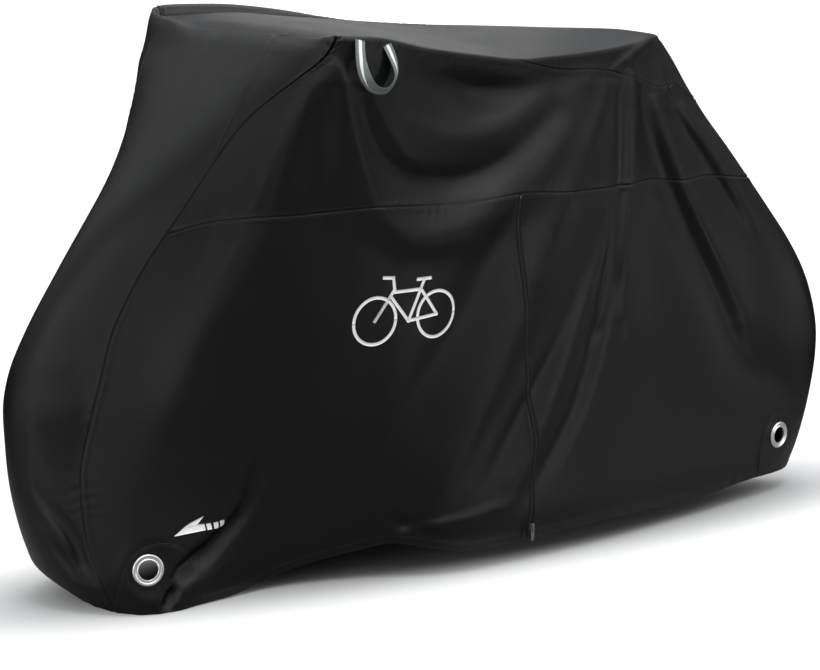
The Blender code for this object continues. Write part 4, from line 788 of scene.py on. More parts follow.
def cloth_object(name, grid, hole_places=(), hole_radius=0.0, inner=None, flat=None, closed=False):
    """A grid of points as cloth with its thickness. Its UVs are lengths in metres along the cloth."""
    if inner is None:
        if not facing_out(grid):
            grid = grid[:, ::-1]
        inner = grid - normals_of(grid) * CLOTH
    rows, columns = grid.shape[:2]
    if flat is None:
        up, over = lengths_along(grid, 0), lengths_along(grid, 1)
        flat = np.stack([over, up.mean(axis=1, keepdims=True) + 0 * over], axis=-1)
    numbers = np.arange(rows * columns).reshape(rows, columns)
    if closed:
        numbers = np.concatenate([numbers, numbers[:, :1]], axis=1)
    back = numbers + rows * columns
    quads = np.stack([numbers[:-1, :-1], numbers[:-1, 1:], numbers[1:, 1:], numbers[1:, :-1]], axis=-1)
    keep = np.ones(quads.shape[:2], dtype=bool)
    if len(hole_places):
        middles = (grid[:-1, :-1] + grid[1:, 1:]) / 2
        for place in hole_places:
            keep &= np.linalg.norm(middles - place, axis=-1) > hole_radius
    faces = [quads[keep], (quads[keep] + rows * columns)[:, ::-1]]
    edges = [(numbers[0, ::-1], back[0, ::-1]), (numbers[-1], back[-1])]
    if not closed:
        edges += [(numbers[:, 0], back[:, 0]), (numbers[::-1, -1], back[::-1, -1])]
    for line, behind in edges:
        faces.append(np.stack([line[:-1], line[1:], behind[1:], behind[:-1]], axis=-1)[:, ::-1])
    faces = np.concatenate(faces)
    flat = flat.reshape(-1, 2)
    points = np.concatenate([grid.reshape(-1, 3), inner.reshape(-1, 3)])
    return mesh_object(name, points, faces, np.concatenate([flat, flat]))


def mesh_object(name, points, faces, flat=None):
    """A smooth mesh of four-sided faces, with UVs for its points."""
    mesh = bpy.data.meshes.new(name)
    mesh.vertices.add(len(points))
    mesh.vertices.foreach_set("co", placed(points).ravel())
    mesh.loops.add(faces.size)
    mesh.loops.foreach_set("vertex_index", faces.ravel())
    mesh.polygons.add(len(faces))
    mesh.polygons.foreach_set("loop_start", np.arange(0, faces.size, faces.shape[1]))
    mesh.polygons.foreach_set("use_smooth", np.ones(len(faces), dtype=bool))
    if flat is not None:
        layer = mesh.uv_layers.new(name="cloth")
        layer.data.foreach_set("uv", flat[faces.ravel()].ravel())
    mesh.update(calc_edges=True)
    mesh.validate()
    piece = bpy.data.objects.new(name, mesh)
    bpy.context.scene.collection.objects.link(piece)
    return piece


def node(tree, kind, settings=(), **inputs):
    """A shader node with its settings, and its inputs set or linked by name."""
    made = tree.nodes.new(kind)
    for key, value in dict(settings).items():
        setattr(made, key, value)
    for key, value in inputs.items():
        by_number = key[0] == "i" and key[1:].isdigit()
        socket = made.inputs[int(key[1:]) if by_number else key.replace("_", " ")]
        if hasattr(value, "is_output"):
            tree.links.new(value, socket)
        else:
            socket.default_value = value
    return made


def sum_of(tree, operation, first, second):
    """One step of arithmetic in a shader."""
    return node(tree, "ShaderNodeMath", {"operation": operation}, i0=first, i1=second).outputs[0]


def effect(name, inputs, outputs):
    """An empty node group: the tree, its inputs and its output node."""
    tree = bpy.data.node_groups.new(name, "ShaderNodeTree")
    for label, value in inputs.items():
        tree.interface.new_socket(label, in_out="INPUT", socket_type="NodeSocketFloat").default_value = value
    for label, kind in outputs.items():
        tree.interface.new_socket(label, in_out="OUTPUT", socket_type=kind)
    return tree, tree.nodes.new("NodeGroupInput").outputs, tree.nodes.new("NodeGroupOutput").inputs


# The plain weave of the cloth: threads that pass over and under each other, a little uneven.
weave, given, result = effect(
    "plain_weave",
    {"Threads per metre": 1500.0, "Unevenness": 0.25},
    {"Height": "NodeSocketFloat", "Tint": "NodeSocketFloat"},
)
cloth_uv = node(weave, "ShaderNodeUVMap", {"uv_map": "cloth"}).outputs[0]
parts = node(weave, "ShaderNodeSeparateXYZ", i0=cloth_uv)
threads = []
for way in ("X", "Y"):
    count = sum_of(weave, "MULTIPLY", parts.outputs[way], given["Threads per metre"])
    threads.append(count)
checks = sum_of(weave, "ADD", node(weave, "ShaderNodeMath", {"operation": "FLOOR"}, i0=threads[0]).outputs[0],
                node(weave, "ShaderNodeMath", {"operation": "FLOOR"}, i0=threads[1]).outputs[0])
odd = sum_of(weave, "MODULO", node(weave, "ShaderNodeMath", {"operation": "ABSOLUTE"}, i0=checks).outputs[0], 2.0)
humps = []
for count in threads:
    turn = sum_of(weave, "MULTIPLY", count, math.pi)
    humps.append(node(weave, "ShaderNodeMath", {"operation": "ABSOLUTE"},
                      i0=node(weave, "ShaderNodeMath", {"operation": "SINE"}, i0=turn).outputs[0]).outputs[0])
over_under = node(weave, "ShaderNodeMix", {"data_type": "FLOAT"}, i0=odd, i2=humps[0], i3=humps[1]).outputs[0]
slubs = node(weave, "ShaderNodeTexNoise", Vector=cloth_uv, Scale=260.0, Detail=2.0).outputs[0]
uneven = sum_of(weave, "MULTIPLY", slubs, given["Unevenness"])
weave.links.new(sum_of(weave, "ADD", over_under, uneven), result["Height"])
weave.links.new(slubs, result["Tint"])

# Soft crumples that stay in coated cloth after it has been folded in its bag.
crumple, given, result = effect(
    "crumples",
    {"Creases per metre": 9.0, "Sharpness": 0.35},
    {"Height": "NodeSocketFloat"},
)
cloth_uv = node(crumple, "ShaderNodeUVMap", {"uv_map": "cloth"}).outputs[0]
bent = node(crumple, "ShaderNodeTexNoise", Vector=cloth_uv, Scale=7.0, Detail=1.0).outputs["Color"]
bent = node(crumple, "ShaderNodeVectorMath", {"operation": "SCALE"}, i0=bent, Scale=0.09).outputs[0]
bent = node(crumple, "ShaderNodeVectorMath", {"operation": "ADD"}, i0=cloth_uv, i1=bent).outputs[0]
cells = node(crumple, "ShaderNodeTexVoronoi", {"feature": "SMOOTH_F1"}, Vector=bent,
             Scale=given["Creases per metre"], Smoothness=0.6).outputs["Distance"]
soft = node(crumple, "ShaderNodeTexNoise", Vector=cloth_uv, Scale=11.0, Detail=4.0, Roughness=0.55).outputs[0]
cells = sum_of(crumple, "MULTIPLY", cells, given["Sharpness"])
crumple.links.new(sum_of(crumple, "ADD", cells, soft), result["Height"])


def cloth_material(name, colour, roughness, threads_per_metre=1500.0, weave_depth=0.00010, crumple_depth=0.0012):
    """Woven cloth with a satin coating."""
    material = bpy.data.materials.new(name)
    material.use_nodes = True
    tree = material.node_tree
    shader = tree.nodes["Principled BSDF"]
    woven = tree.nodes.new("ShaderNodeGroup")
    woven.node_tree = weave
    woven.inputs["Threads per metre"].default_value = threads_per_metre
    creased = tree.nodes.new("ShaderNodeGroup")
    creased.node_tree = crumple
    dark = (*[channel * 0.82 for channel in colour], 1.0)
    light = (*[channel * 1.22 for channel in colour], 1.0)
    tint = node(tree, "ShaderNodeMix", {"data_type": "RGBA"}, i0=woven.outputs["Tint"], i6=dark, i7=light)
    tree.links.new(tint.outputs[2], shader.inputs["Base Color"])
    rough = node(tree, "ShaderNodeMapRange", i0=creased.outputs["Height"], i1=0.2, i2=1.0,
                 i3=roughness - 0.04, i4=roughness + 0.05)
    tree.links.new(rough.outputs[0], shader.inputs["Roughness"])
    folds = node(tree, "ShaderNodeBump", Distance=crumple_depth, Strength=1.0, Height=creased.outputs["Height"])
    threads_up = node(tree, "ShaderNodeBump", Distance=weave_depth, Strength=1.0,
                      Height=woven.outputs["Height"], Normal=folds.outputs[0])
    tree.links.new(threads_up.outputs[0], shader.inputs["Normal"])
    shader.inputs["Specular IOR Level"].default_value = 0.27
    return material


cover_cloth = cloth_material("cover_cloth", (0.0020, 0.0021, 0.0023), 0.32)


def panel(name, node_name, grid, seams, holes=(), hole_radius=0.0, rolled=()):
    """One cut panel of the cover: sewn, coloured, put in place of its imported part and attached to the root body."""
    piece = cloth_object(name, sewn(grid, seams, rolled), holes, hole_radius)
    piece.data.materials.append(cover_cloth)
    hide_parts(node_name)
    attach(piece, "root")
    return piece


waist_start = np.array([WAIST_SEAM[0][0], WAIST_SEAM[0][1]])
waist_end = np.array([WAIST_SEAM[-1][0], WAIST_SEAM[-1][1]])
hem_start = np.array([FRONT_SEAM[0][1], FRONT_SEAM[0][0]])
hem_end = np.array([REAR_OUTLINE[0][1], REAR_OUTLINE[0][0]])
for side, word in ((LEFT, "left"), (RIGHT, "right")):
    rows = spaced(waist_start[1] - hem_start[1], STEP[side])
    front_columns = spaced(0.75, STEP[side])
    rear_columns = towards_rear(spaced(1.15, STEP[side]))
    low_front = front_edge(hem_start[1] + (waist_start[1] - hem_start[1]) * rows)
    low_front[-1] = waist_start
    low_rear = rear_edge(hem_end[1] + (waist_end[1] - hem_end[1]) * rows)
    before, after = zip_edge(-ZIP_HALF_WIDTH, rows), zip_edge(ZIP_HALF_WIDTH, rows)
    waist_front = along(WAIST_SEAM, waist_start, before[-1], front_columns)
    waist_rear = along(WAIST_SEAM, after[-1], waist_end, rear_columns)
    hem_front = along(HEM, hem_start, before[0], front_columns)
    hem_rear = along(HEM, after[0], hem_end, rear_columns)
    eyes = {}
    for row in EYELETS:
        eyes[row["name"]] = on_skirt(np.array([row["x"], row["height"]]), side)
    if side == LEFT:
        grid = on_skirt(filled(low_front, before, hem_front, waist_front), side)
        panel("left_lower_front_cloth", "left_lower_front_panel", grid, ("hem", "high", "left", "right"),
              [eyes["front"]], 0.024)
        grid = on_skirt(filled(after, low_rear, hem_rear, waist_rear), side)
        panel("left_lower_rear_cloth", "left_lower_rear_panel", grid, ("hem", "high", "left", "right"),
              [eyes["rear"]], 0.024)
    else:
        hem, waist = np.concatenate([hem_front, hem_rear]), np.concatenate([waist_front, waist_rear])
        grid = on_skirt(filled(low_front, low_rear, hem, waist), side)
        panel("right_lower_cloth", "right_lower_panel", grid, ("hem", "high", "left", "right"),
              list(eyes.values()), 0.024)

    # The upper panel, from the waist seam to the top seam.
    climb = up_to_rim(spaced(0.36, STEP[side]))
    rim_front = float(rim_height(BAR_X, side))
    up_front = front_edge(waist_start[1] + (rim_front - waist_start[1]) * climb)
    up_front[-1, 0] = BAR_X
    top_x = np.concatenate([
        BAR_X + (before[-1, 0] - BAR_X) * front_columns,
        after[-1, 0] + (TOP_REAR_X - after[-1, 0]) * rear_columns,
    ])
    top = np.stack([top_x, rim_height(top_x, side) - through(TOP_SEAM_DROP, top_x)], axis=-1)
    up_rear = rear_edge(waist_end[1] + (top[-1, 1] - waist_end[1]) * climb)
    up_rear[-1] = top[-1]
    waist = np.concatenate([waist_front, waist_rear])
    grid = on_skirt(filled(up_front, up_rear, waist, top), side)
    panel(f"{word}_upper_cloth", f"{word}_upper_panel", grid, ("low", "high", "left", "right"),
          rolled=("left",))


# ======================================================== front strip and gores
# The strip that runs up over the front wheel to the handlebar, and a narrow gore on each side of it
# that widens the shoulder. Both are of the same cloth. The strip turns softly over the handlebar.
GORE_TOP_Y = {LEFT: 0.200, RIGHT: 0.245}
STRIP_STEP = 0.0062
OVER_BAR = {"reach": 0.042, "fade": 0.05}  # the soft turn over the bar, which ends at the two shoulders


def on_front(share, height):
    """Points of the cover for signed shares: the left side's are negative."""
    left = skirt(np.abs(share), height, LEFT)
    right = skirt(np.abs(share), height, RIGHT)
    return np.where((share < 0)[..., None], left, right)


def rim_on_front(share):
    """Heights at which the front turns over into the top, for signed shares."""
    height = np.full(share.shape, 1.04)
    away = np.abs(share)
    for _ in range(6):
        front, rear = through(FRONT_OUTLINE, height), through(REAR_OUTLINE, height)
        x = front + (rear - front) * (1 - np.cos(math.pi * away)) / 2
        height = np.where(share < 0, rim_height(x, LEFT, away), rim_height(x, RIGHT, away))
    return height


def over_bar(away, downwards, backwards, fade):
    """How far points near the bar move inwards, so that the cloth turns softly over it."""
    bend = np.clip((1 - away / OVER_BAR["reach"]) / 2, 0, 1) ** 2
    return (OVER_BAR["reach"] * bend * fade)[..., None] * (downwards + backwards)


strip_rows_low = spaced(GORE_APEX_HEIGHT - hem_start[1], STRIP_STEP * 0.8)
strip_climb = up_to_rim(spaced(0.26, STRIP_STEP))
gore_columns = spaced(0.14, STRIP_STEP)
strip_columns = spaced(0.46, STRIP_STEP)
strip_edge, gores = {}, {}
for side in (LEFT, RIGHT):
    rim_front = float(rim_height(BAR_X, side))
    shoulder = front_edge(GORE_APEX_HEIGHT + (rim_front - GORE_APEX_HEIGHT) * strip_climb)
    shoulder[-1, 0] = BAR_X
    shoulder_share = share_at(shoulder[:, 0], shoulder[:, 1])
    apex, bar_end = float(shoulder_share[0]), float(shoulder_share[-1])
    tries = np.linspace(0, bar_end, 80)
    reach = np.abs(skirt(tries, rim_on_front(side * np.maximum(tries, 1e-6)), side)[:, 1])
    gore_top = float(np.interp(GORE_TOP_Y[side], reach, tries))
    gore_share = apex + (gore_top - apex) * strip_climb
    share = gore_share[:, None] + (shoulder_share - gore_share)[:, None] * gore_columns
    share[-1] = gore_top + (bar_end - gore_top) * gore_columns
    rim = rim_on_front(side * share[-1])
    heights = GORE_APEX_HEIGHT + (rim[None] - GORE_APEX_HEIGHT) * strip_climb[:, None]
    heights[:, -1] = shoulder[:, 1]
    gores[side] = skirt(share, heights, side)
    below = front_edge(hem_start[1] + (GORE_APEX_HEIGHT - hem_start[1]) * strip_rows_low)
    strip_edge[side] = np.concatenate([share_at(below[:, 0], below[:, 1]), gore_share[1:]])
    strip_heights = np.concatenate([below[:, 1], heights[1:, 0]])

share = -strip_edge[LEFT][:, None] * (1 - strip_columns) + strip_edge[RIGHT][:, None] * strip_columns
rim = rim_on_front(share[-1])
heights = np.repeat(strip_heights[:, None], len(strip_columns), axis=1)
from_apex = len(strip_rows_low) - 1
heights[from_apex:] = GORE_APEX_HEIGHT + (rim - GORE_APEX_HEIGHT) * strip_climb[:, None]
strip = on_front(share, heights)

# The line over the bar, from the left shoulder to the right one, and the way down the front from it.
below_bar = np.concatenate([gores[LEFT][:, ::-1], strip[from_apex:, 1:-1], gores[RIGHT]], axis=1)
bar_line = below_bar[-1]
bar_places = np.concatenate([[0], np.cumsum(np.linalg.norm(np.diff(bar_line, axis=0), axis=1))])
bar_fade = soft_step(np.minimum(bar_places, bar_places[-1] - bar_places), 0, OVER_BAR["fade"])
down_front = below_bar[-8] - bar_line
down_front = down_front / np.linalg.norm(down_front, axis=-1, keepdims=True)
TOP_WAY = np.array([1.0, 0.0, 0.0])
count = len(gore_columns)
spans = {LEFT: np.arange(count)[::-1], RIGHT: np.arange(len(bar_line) - count, len(bar_line))}
for side, word in ((LEFT, "left"), (RIGHT, "right")):
    gore, span = gores[side], spans[side]
    away = lengths_along(gore, 0)
    gore = gore + over_bar(away[-1:] - away, down_front[span], TOP_WAY, bar_fade[span])
    panel(f"{word}_gore_cloth", f"{word}_gore", gore, ("left", "right", "high"),
          rolled=("right",))
span = np.arange(count - 1, len(bar_line) - count + 1)
away = lengths_along(strip, 0)
strip = strip + over_bar(away[-1:] - away, down_front[span], TOP_WAY, bar_fade[span])
panel("front_strip_cloth", "front_strip", strip, ("left", "right", "hem"))


# ======================================================== top panel
# The panel over the handlebar and the saddle. It hangs slack between them, and behind the saddle it
# ends in a point where it meets both upper panels.
CROWN = (  # x, how far the top panel bows up between its rims
    (-0.47, 0.004),
    (-0.38, 0.014),
    (-0.25, 0.012),
    (-0.10, 0.004),
    (0.05, 0.000),
    (0.20, 0.003),
    (0.35, 0.006),
    (0.46, 0.007),
    (0.50, 0.003),
    (0.53, 0.000),
)
FRONT_EDGE_FADE = 0.12
FLAP_LEAST = 0.030


def at_lengths(line, lengths):
    """Points at these lengths along a line of points."""
    steps = np.linalg.norm(np.diff(line, axis=0), axis=1)
    places = np.concatenate([[0], np.cumsum(steps)])
    return np.stack([np.interp(lengths, places, line[:, i]) for i in range(3)], axis=-1)


flap_columns = spaced(0.045, 0.003)
middle_columns = np.linspace(0, 1, 76)
top_x = np.concatenate([
    BAR_X + (ZIP_TOP_X - ZIP_HALF_WIDTH - BAR_X) * spaced(0.45, STRIP_STEP),
    ZIP_TOP_X + ZIP_HALF_WIDTH + (TOP_REAR_X - ZIP_TOP_X - ZIP_HALF_WIDTH) * towards_rear(spaced(0.80, STRIP_STEP)),
])
flaps = {}
for side in (LEFT, RIGHT):
    top_seam = rim_height(top_x, side) - through(TOP_SEAM_DROP, top_x)
    up = np.linspace(0, 1, 24)
    heights = top_seam[:, None] + (rim_height(top_x, side) - top_seam)[:, None] * up
    flaps[side] = on_skirt(np.stack([top_x[:, None] + 0 * heights, heights], axis=-1), side)
ribs = []
for i in range(len(top_x)):
    t = np.linspace(0, 1, 60)[:, None]
    over = flaps[LEFT][i, -1] * (1 - t) + flaps[RIGHT][i, -1] * t
    over[:, 2] += through(CROWN, top_x[i]) * (1 - (2 * t[:, 0] - 1) ** 4)
    line = np.concatenate([flaps[LEFT][i, :-1], over, flaps[RIGHT][i, ::-1][1:]])
    steps = np.linalg.norm(np.diff(line, axis=0), axis=1)
    line = line[np.concatenate([[True], steps > 1e-7])]
    total = np.linalg.norm(np.diff(line, axis=0), axis=1).sum()
    turns = []
    for side in (LEFT, RIGHT):
        flap = np.linalg.norm(np.diff(flaps[side][i], axis=0), axis=1).sum()
        turns.append(min(max(flap, FLAP_LEAST), total * 0.45))
    lengths = np.concatenate([
        turns[0] * flap_columns,
        (turns[0] + (total - turns[1] - turns[0]) * middle_columns)[1:],
        (total - turns[1] + turns[1] * flap_columns)[1:],
    ])
    ribs.append(at_lengths(line, lengths))
ribs = np.array(ribs)
first = np.concatenate([[0], np.cumsum(np.linalg.norm(np.diff(ribs[0], axis=0), axis=1))])
rib_places = first / first[-1] * bar_places[-1]
fade = np.clip(1 - (top_x - BAR_X) / FRONT_EDGE_FADE, 0, 1) ** 2
ribs = ribs + fade[:, None, None] * (at_lengths(bar_line, rib_places) - ribs[0])[None]
down_rib = np.stack([np.interp(rib_places, bar_places, down_front[:, i]) for i in range(3)], axis=-1)
rib_fade = np.interp(rib_places, bar_places, bar_fade)
ribs = ribs + over_bar(lengths_along(ribs, 0), down_rib, TOP_WAY, rib_fade)
panel("top_cloth", "top_panel", ribs, ("left", "right"))


# ======================================================== eyelets and their patches
# Each side has an eyelet near the front and one near the rear, for a cable or the bar of a lock. A patch
# of the same cloth is sewn over the panel there, and a plated ring of two halves is pressed through both.
PATCHES = {  # middle, half of its length, its height above the hem, how square its rounded top is
    "front": (-0.688, 0.083, 0.130, 2.3),
    "rear": (0.803, 0.058, 0.136, 2.6),
}
PATCH_PROUD = 0.0010
PATCH_CLOTH = 0.0009
PATCH_SPOKES = 168
PATCH_EDGE = (0.0, 0.0005, 0.0011, 0.0018, 0.0026, 0.0034, 0.0042, 0.0055, 0.0075)  # from its outline inwards
PATCH_STITCH = {"away": 0.0038, "width": 0.0008, "dent": 0.0006}
HOLE_IN_CLOTH = 0.0206
RING_FACE = (  # radius, distance out of the cloth: barrel, inner lip, groove and rolled rim
    (0.0180, -0.0014), (0.0180, 0.0012), (0.0181, 0.0020), (0.0185, 0.0026), (0.0191, 0.0029),
    (0.0198, 0.0028), (0.0204, 0.0023), (0.0210, 0.0018), (0.0219, 0.0016), (0.0229, 0.0018),
    (0.0239, 0.0024), (0.0250, 0.0030), (0.0262, 0.0033), (0.0274, 0.0031), (0.0284, 0.0025),
    (0.0291, 0.0017), (0.0294, 0.0009), (0.0291, 0.0005), (0.0206, 0.0005), (0.0205, 0.0000),
)
RING_BACK = (
    (0.0205, -0.0018), (0.0207, -0.0020), (0.0290, -0.0020), (0.0294, -0.0024), (0.0289, -0.0032),
    (0.0275, -0.0036), (0.0215, -0.0036), (0.0190, -0.0036), (0.0182, -0.0032), (0.0180, -0.0024),
)
RING_ROUND = 96


def way_out(places, side):
    """Unit vectors out of the cloth at (x, height) places."""
    small = 0.002
    run = on_skirt(places + (small, 0), side) - on_skirt(places - (small, 0), side)
    rise = on_skirt(places + (0, small), side) - on_skirt(places - (0, small), side)
    out = np.cross(rise, run)
    out = out * np.sign(out[..., 1:2] * side)
    return out / np.linalg.norm(out, axis=-1, keepdims=True)


def patch_outline(name, count):
    """(x, height) places round a patch, from its rear foot over its rounded top, then along the hem."""
    middle, half, high, square = PATCHES[name]
    turn = np.linspace(0, math.pi, count * 2 // 3 + 1)
    x = middle + half * np.sign(np.cos(turn)) * np.abs(np.cos(turn)) ** (2 / square)
    top = through(HEM, x) + high * np.sin(turn) ** (2 / square)
    back = np.linspace(middle - half, middle + half, count - len(turn) + 2)[1:-1]
    return np.concatenate([np.stack([x, top], axis=-1), np.stack([back, through(HEM, back)], axis=-1)])


def evenly(outline, count):
    """The same closed outline with its places at even distances."""
    line = np.concatenate([outline, outline[:1]])
    places = np.concatenate([[0], np.cumsum(np.linalg.norm(np.diff(line, axis=0), axis=1))])
    at = np.linspace(0, places[-1], count, endpoint=False)
    return np.stack([np.interp(at, places, line[:, i]) for i in range(2)], axis=-1)


def metal_material(name, colour, roughness, scratches):
    """Plated metal, with the fine rub marks of handling."""
    material = bpy.data.materials.new(name)
    material.use_nodes = True
    tree = material.node_tree
    shader = tree.nodes["Principled BSDF"]
    where = node(tree, "ShaderNodeTexCoord").outputs["Object"]
    marks = node(tree, "ShaderNodeTexNoise", Vector=where, Scale=900.0, Detail=4.0, Roughness=0.65).outputs[0]
    clouds = node(tree, "ShaderNodeTexNoise", Vector=where, Scale=120.0, Detail=2.0).outputs[0]
    worn = tuple(channel * 0.80 for channel in colour)
    tint = node(tree, "ShaderNodeMix", {"data_type": "RGBA"}, i0=clouds, i6=(*worn, 1.0), i7=(*colour, 1.0))
    tree.links.new(tint.outputs[2], shader.inputs["Base Color"])
    rough = node(tree, "ShaderNodeMapRange", i0=marks, i1=0.3, i2=0.7, i3=roughness - 0.06, i4=roughness + 0.08)
    tree.links.new(rough.outputs[0], shader.inputs["Roughness"])
    bump = node(tree, "ShaderNodeBump", Distance=scratches, Strength=1.0, Height=marks)
    tree.links.new(bump.outputs[0], shader.inputs["Normal"])
    shader.inputs["Metallic"].default_value = 1.0
    return material


eyelet_metal = metal_material("eyelet_ring", (0.86, 0.87, 0.88), 0.36, 0.00005)
for side, word in ((LEFT, "left"), (RIGHT, "right")):
    for row in EYELETS:
        outline = evenly(patch_outline(row["name"], 600), PATCH_SPOKES)
        centre = np.array([row["x"], row["height"]])
        spokes = outline - centre
        reach = np.linalg.norm(spokes, axis=-1)
        inwards = -spokes / reach[:, None]
        edge = [outline + inwards * away for away in PATCH_EDGE]
        hole = centre - inwards * HOLE_IN_CLOTH
        last = edge[-1]
        middle = [last + (hole - last) * t for t in np.linspace(0, 1, 16)[1:]]
        places = np.array(edge + middle)
        away = np.array([*PATCH_EDGE, *[PATCH_EDGE[-1] + 0.003 * (i + 1) for i in range(len(middle))]])
        lift = PATCH_PROUD * soft_step(away, -0.0004, 0.0011)
        lift = lift - PATCH_STITCH["dent"] * np.exp(-(((away - PATCH_STITCH["away"]) / PATCH_STITCH["width"]) ** 2))
        out = way_out(places, side)
        outer = on_skirt(places, side) + out * lift[:, None, None]
        inner = outer - out * PATCH_CLOTH
        if side == LEFT:
            outer, inner, places = outer[:, ::-1], inner[:, ::-1], places[:, ::-1]
        patch = cloth_object(f"{word}_{row['name']}_patch_cloth", outer, inner=inner, flat=places, closed=True)
        patch.data.materials.append(cover_cloth)
        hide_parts(f"{word}_{row['name']}_patch")
        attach(patch, "root")
        size = (0.166, 0.140, 0.0195) if row["name"] == "front" else (0.116, 0.140, 0.0140)
        stitches = edge[6]
        stitch_lines.append((on_skirt(stitches, side) + way_out(stitches, side) * 0.0005, way_out(stitches, side)))

        out = np.array([-row["turn"], side, -row["lean"]])
        out = out / np.linalg.norm(out)
        level = np.cross(out, (0, 0, 1.0))
        level = level / np.linalg.norm(level)
        rise = np.cross(level, out)
        turns = np.linspace(0, 2 * math.pi, RING_ROUND, endpoint=False)
        spokes = np.cos(turns)[:, None] * level + np.sin(turns)[:, None] * rise
        profile = np.array(RING_FACE + RING_BACK)
        middle = on_skirt(centre, side) + PATCH_PROUD * out
        hoops = middle + profile[:, None, 1:] * out + profile[:, None, :1] * spokes
        numbers = np.arange(len(profile) * RING_ROUND).reshape(len(profile), RING_ROUND)
        here, after = numbers, np.roll(numbers, -1, axis=0)
        faces = np.stack([here, np.roll(here, -1, axis=1), np.roll(after, -1, axis=1), after], axis=-1)
        ring = mesh_object(f"{word}_{row['name']}_eyelet_ring", hoops.reshape(-1, 3), faces.reshape(-1, 4)[:, ::-1])
        ring.data.materials.append(eyelet_metal)
        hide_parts(f"{word}_{row['name']}_eyelet")
        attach(ring, "root")


# ======================================================== zip
# A coil zip between the two left lower panels: two woven tapes, each with a nylon coil sewn on. It is
# closed, a stop ends it at the waist seam, and the plated slider rests at the hem with its pull hanging.
ZIP_SPAN = (0.0515, 0.7285)
TAPE = {"half_width": 0.0052, "sunk": 0.0007, "thickness": 0.0006}
COIL = {"pitch": 0.00150, "thread": 0.00034, "around": 4}
TOOTH = ((0.0029, 0.0, -0.0003), (0.0027, 0.0001, 0.0008), (0.0015, 0.0002, 0.0013), (0.0001, 0.0003, 0.0011),
         (-0.0007, 0.0004, 0.0004))  # along one turn of the coil: across, up, out
STOP = {"half_width": 0.0030, "half_height": 0.0035, "out": 0.0022, "corner": 0.0012}


def on_zip(heights):
    """The zip's middle line, and its directions across, up and out of the cloth."""
    places = np.stack([through(ZIP_LINE, heights), heights], axis=-1)
    line, out = on_skirt(places, LEFT), way_out(places, LEFT)
    up = np.gradient(line, axis=0)
    up = up / np.linalg.norm(up, axis=-1, keepdims=True)
    across = np.cross(up, out)
    return line, across / np.linalg.norm(across, axis=-1, keepdims=True), up, out


def moulded_material(name, colour, roughness):
    """Moulded nylon, slightly cloudy."""
    material = bpy.data.materials.new(name)
    material.use_nodes = True
    tree = material.node_tree
    shader = tree.nodes["Principled BSDF"]
    where = node(tree, "ShaderNodeTexCoord").outputs["Object"]
    clouds = node(tree, "ShaderNodeTexNoise", Vector=where, Scale=400.0, Detail=3.0).outputs[0]
    light = tuple(channel * 1.5 for channel in colour)
    tint = node(tree, "ShaderNodeMix", {"data_type": "RGBA"}, i0=clouds, i6=(*colour, 1.0), i7=(*light, 1.0))
    tree.links.new(tint.outputs[2], shader.inputs["Base Color"])
    rough = node(tree, "ShaderNodeMapRange", i0=clouds, i1=0.3, i2=0.7, i3=roughness - 0.05, i4=roughness + 0.05)
    tree.links.new(rough.outputs[0], shader.inputs["Roughness"])
    bump = node(tree, "ShaderNodeBump", Distance=0.00004, Strength=1.0, Height=clouds)
    tree.links.new(bump.outputs[0], shader.inputs["Normal"])
    return material


heights = np.linspace(*ZIP_SPAN, 180)
line, across, up, out = on_zip(heights)
offsets = np.linspace(-1, 1, 13) * TAPE["half_width"]
tape = line[:, None] + across[:, None] * offsets[None, :, None] - (out * TAPE["sunk"])[:, None]
under = tape - (out * TAPE["thickness"])[:, None]
flat = np.stack([offsets[None] + 0 * heights[:, None], heights[:, None] + 0 * offsets[None]], axis=-1)
if not facing_out(tape):
    tape, under, flat = tape[:, ::-1], under[:, ::-1], flat[:, ::-1]
zip_tape = cloth_object("zip_tape", tape, inner=under, flat=flat)
zip_tape.data.materials.append(cloth_material("zip_tape", (0.0024, 0.0024, 0.0026), 0.72, 1900.0, 0.00012, 0.0))
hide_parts("zip_chain")
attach(zip_tape, "root")

tooth_heights = np.arange(ZIP_SPAN[0] + 0.004, ZIP_SPAN[1] - 0.004, COIL["pitch"])
points, faces = [], []
rim = np.linspace(0, 2 * math.pi, COIL["around"], endpoint=False)
for way in (-1, 1):
    line, across, up, out = on_zip(tooth_heights + way * COIL["pitch"] / 4)
    path = np.array(TOOTH)
    tangent = np.gradient(path, axis=0)
    tangent = tangent / np.linalg.norm(tangent, axis=-1, keepdims=True)
    beside = np.cross(tangent, (0.0, 1.0, 0.0))
    beside = beside / np.linalg.norm(beside, axis=-1, keepdims=True)
    over = np.cross(beside, tangent)
    tube = path[:, None] + COIL["thread"] * (np.cos(rim)[:, None] * beside[:, None] + np.sin(rim)[:, None] * over[:, None])
    tube = tube.reshape(-1, 3) * (way, 1, 1)
    base = line - out * TAPE["sunk"]
    teeth = (base[:, None] + tube[None, :, :1] * across[:, None] + tube[None, :, 1:2] * up[:, None]
             + tube[None, :, 2:] * out[:, None])
    numbers = np.arange(len(path) * COIL["around"]).reshape(len(path), COIL["around"])
    one = np.stack([numbers[:-1], np.roll(numbers[:-1], -1, axis=1), np.roll(numbers[1:], -1, axis=1), numbers[1:]],
                   axis=-1).reshape(-1, 4)
    one = np.concatenate([one, [numbers[0, ::-1], numbers[-1]]])
    one = one if way == 1 else one[:, ::-1]
    start = sum(len(block) for block in points) + np.arange(len(teeth)) * tube.shape[0]
    points.append(teeth.reshape(-1, 3))
    faces.append((one[None] + start[:, None, None]).reshape(-1, 4))
zip_coil = mesh_object("zip_coil", np.concatenate(points), np.concatenate(faces))
zip_coil.data.materials.append(moulded_material("zip_nylon", (0.010, 0.010, 0.011), 0.38))
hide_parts("zip_chain")
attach(zip_coil, "root")

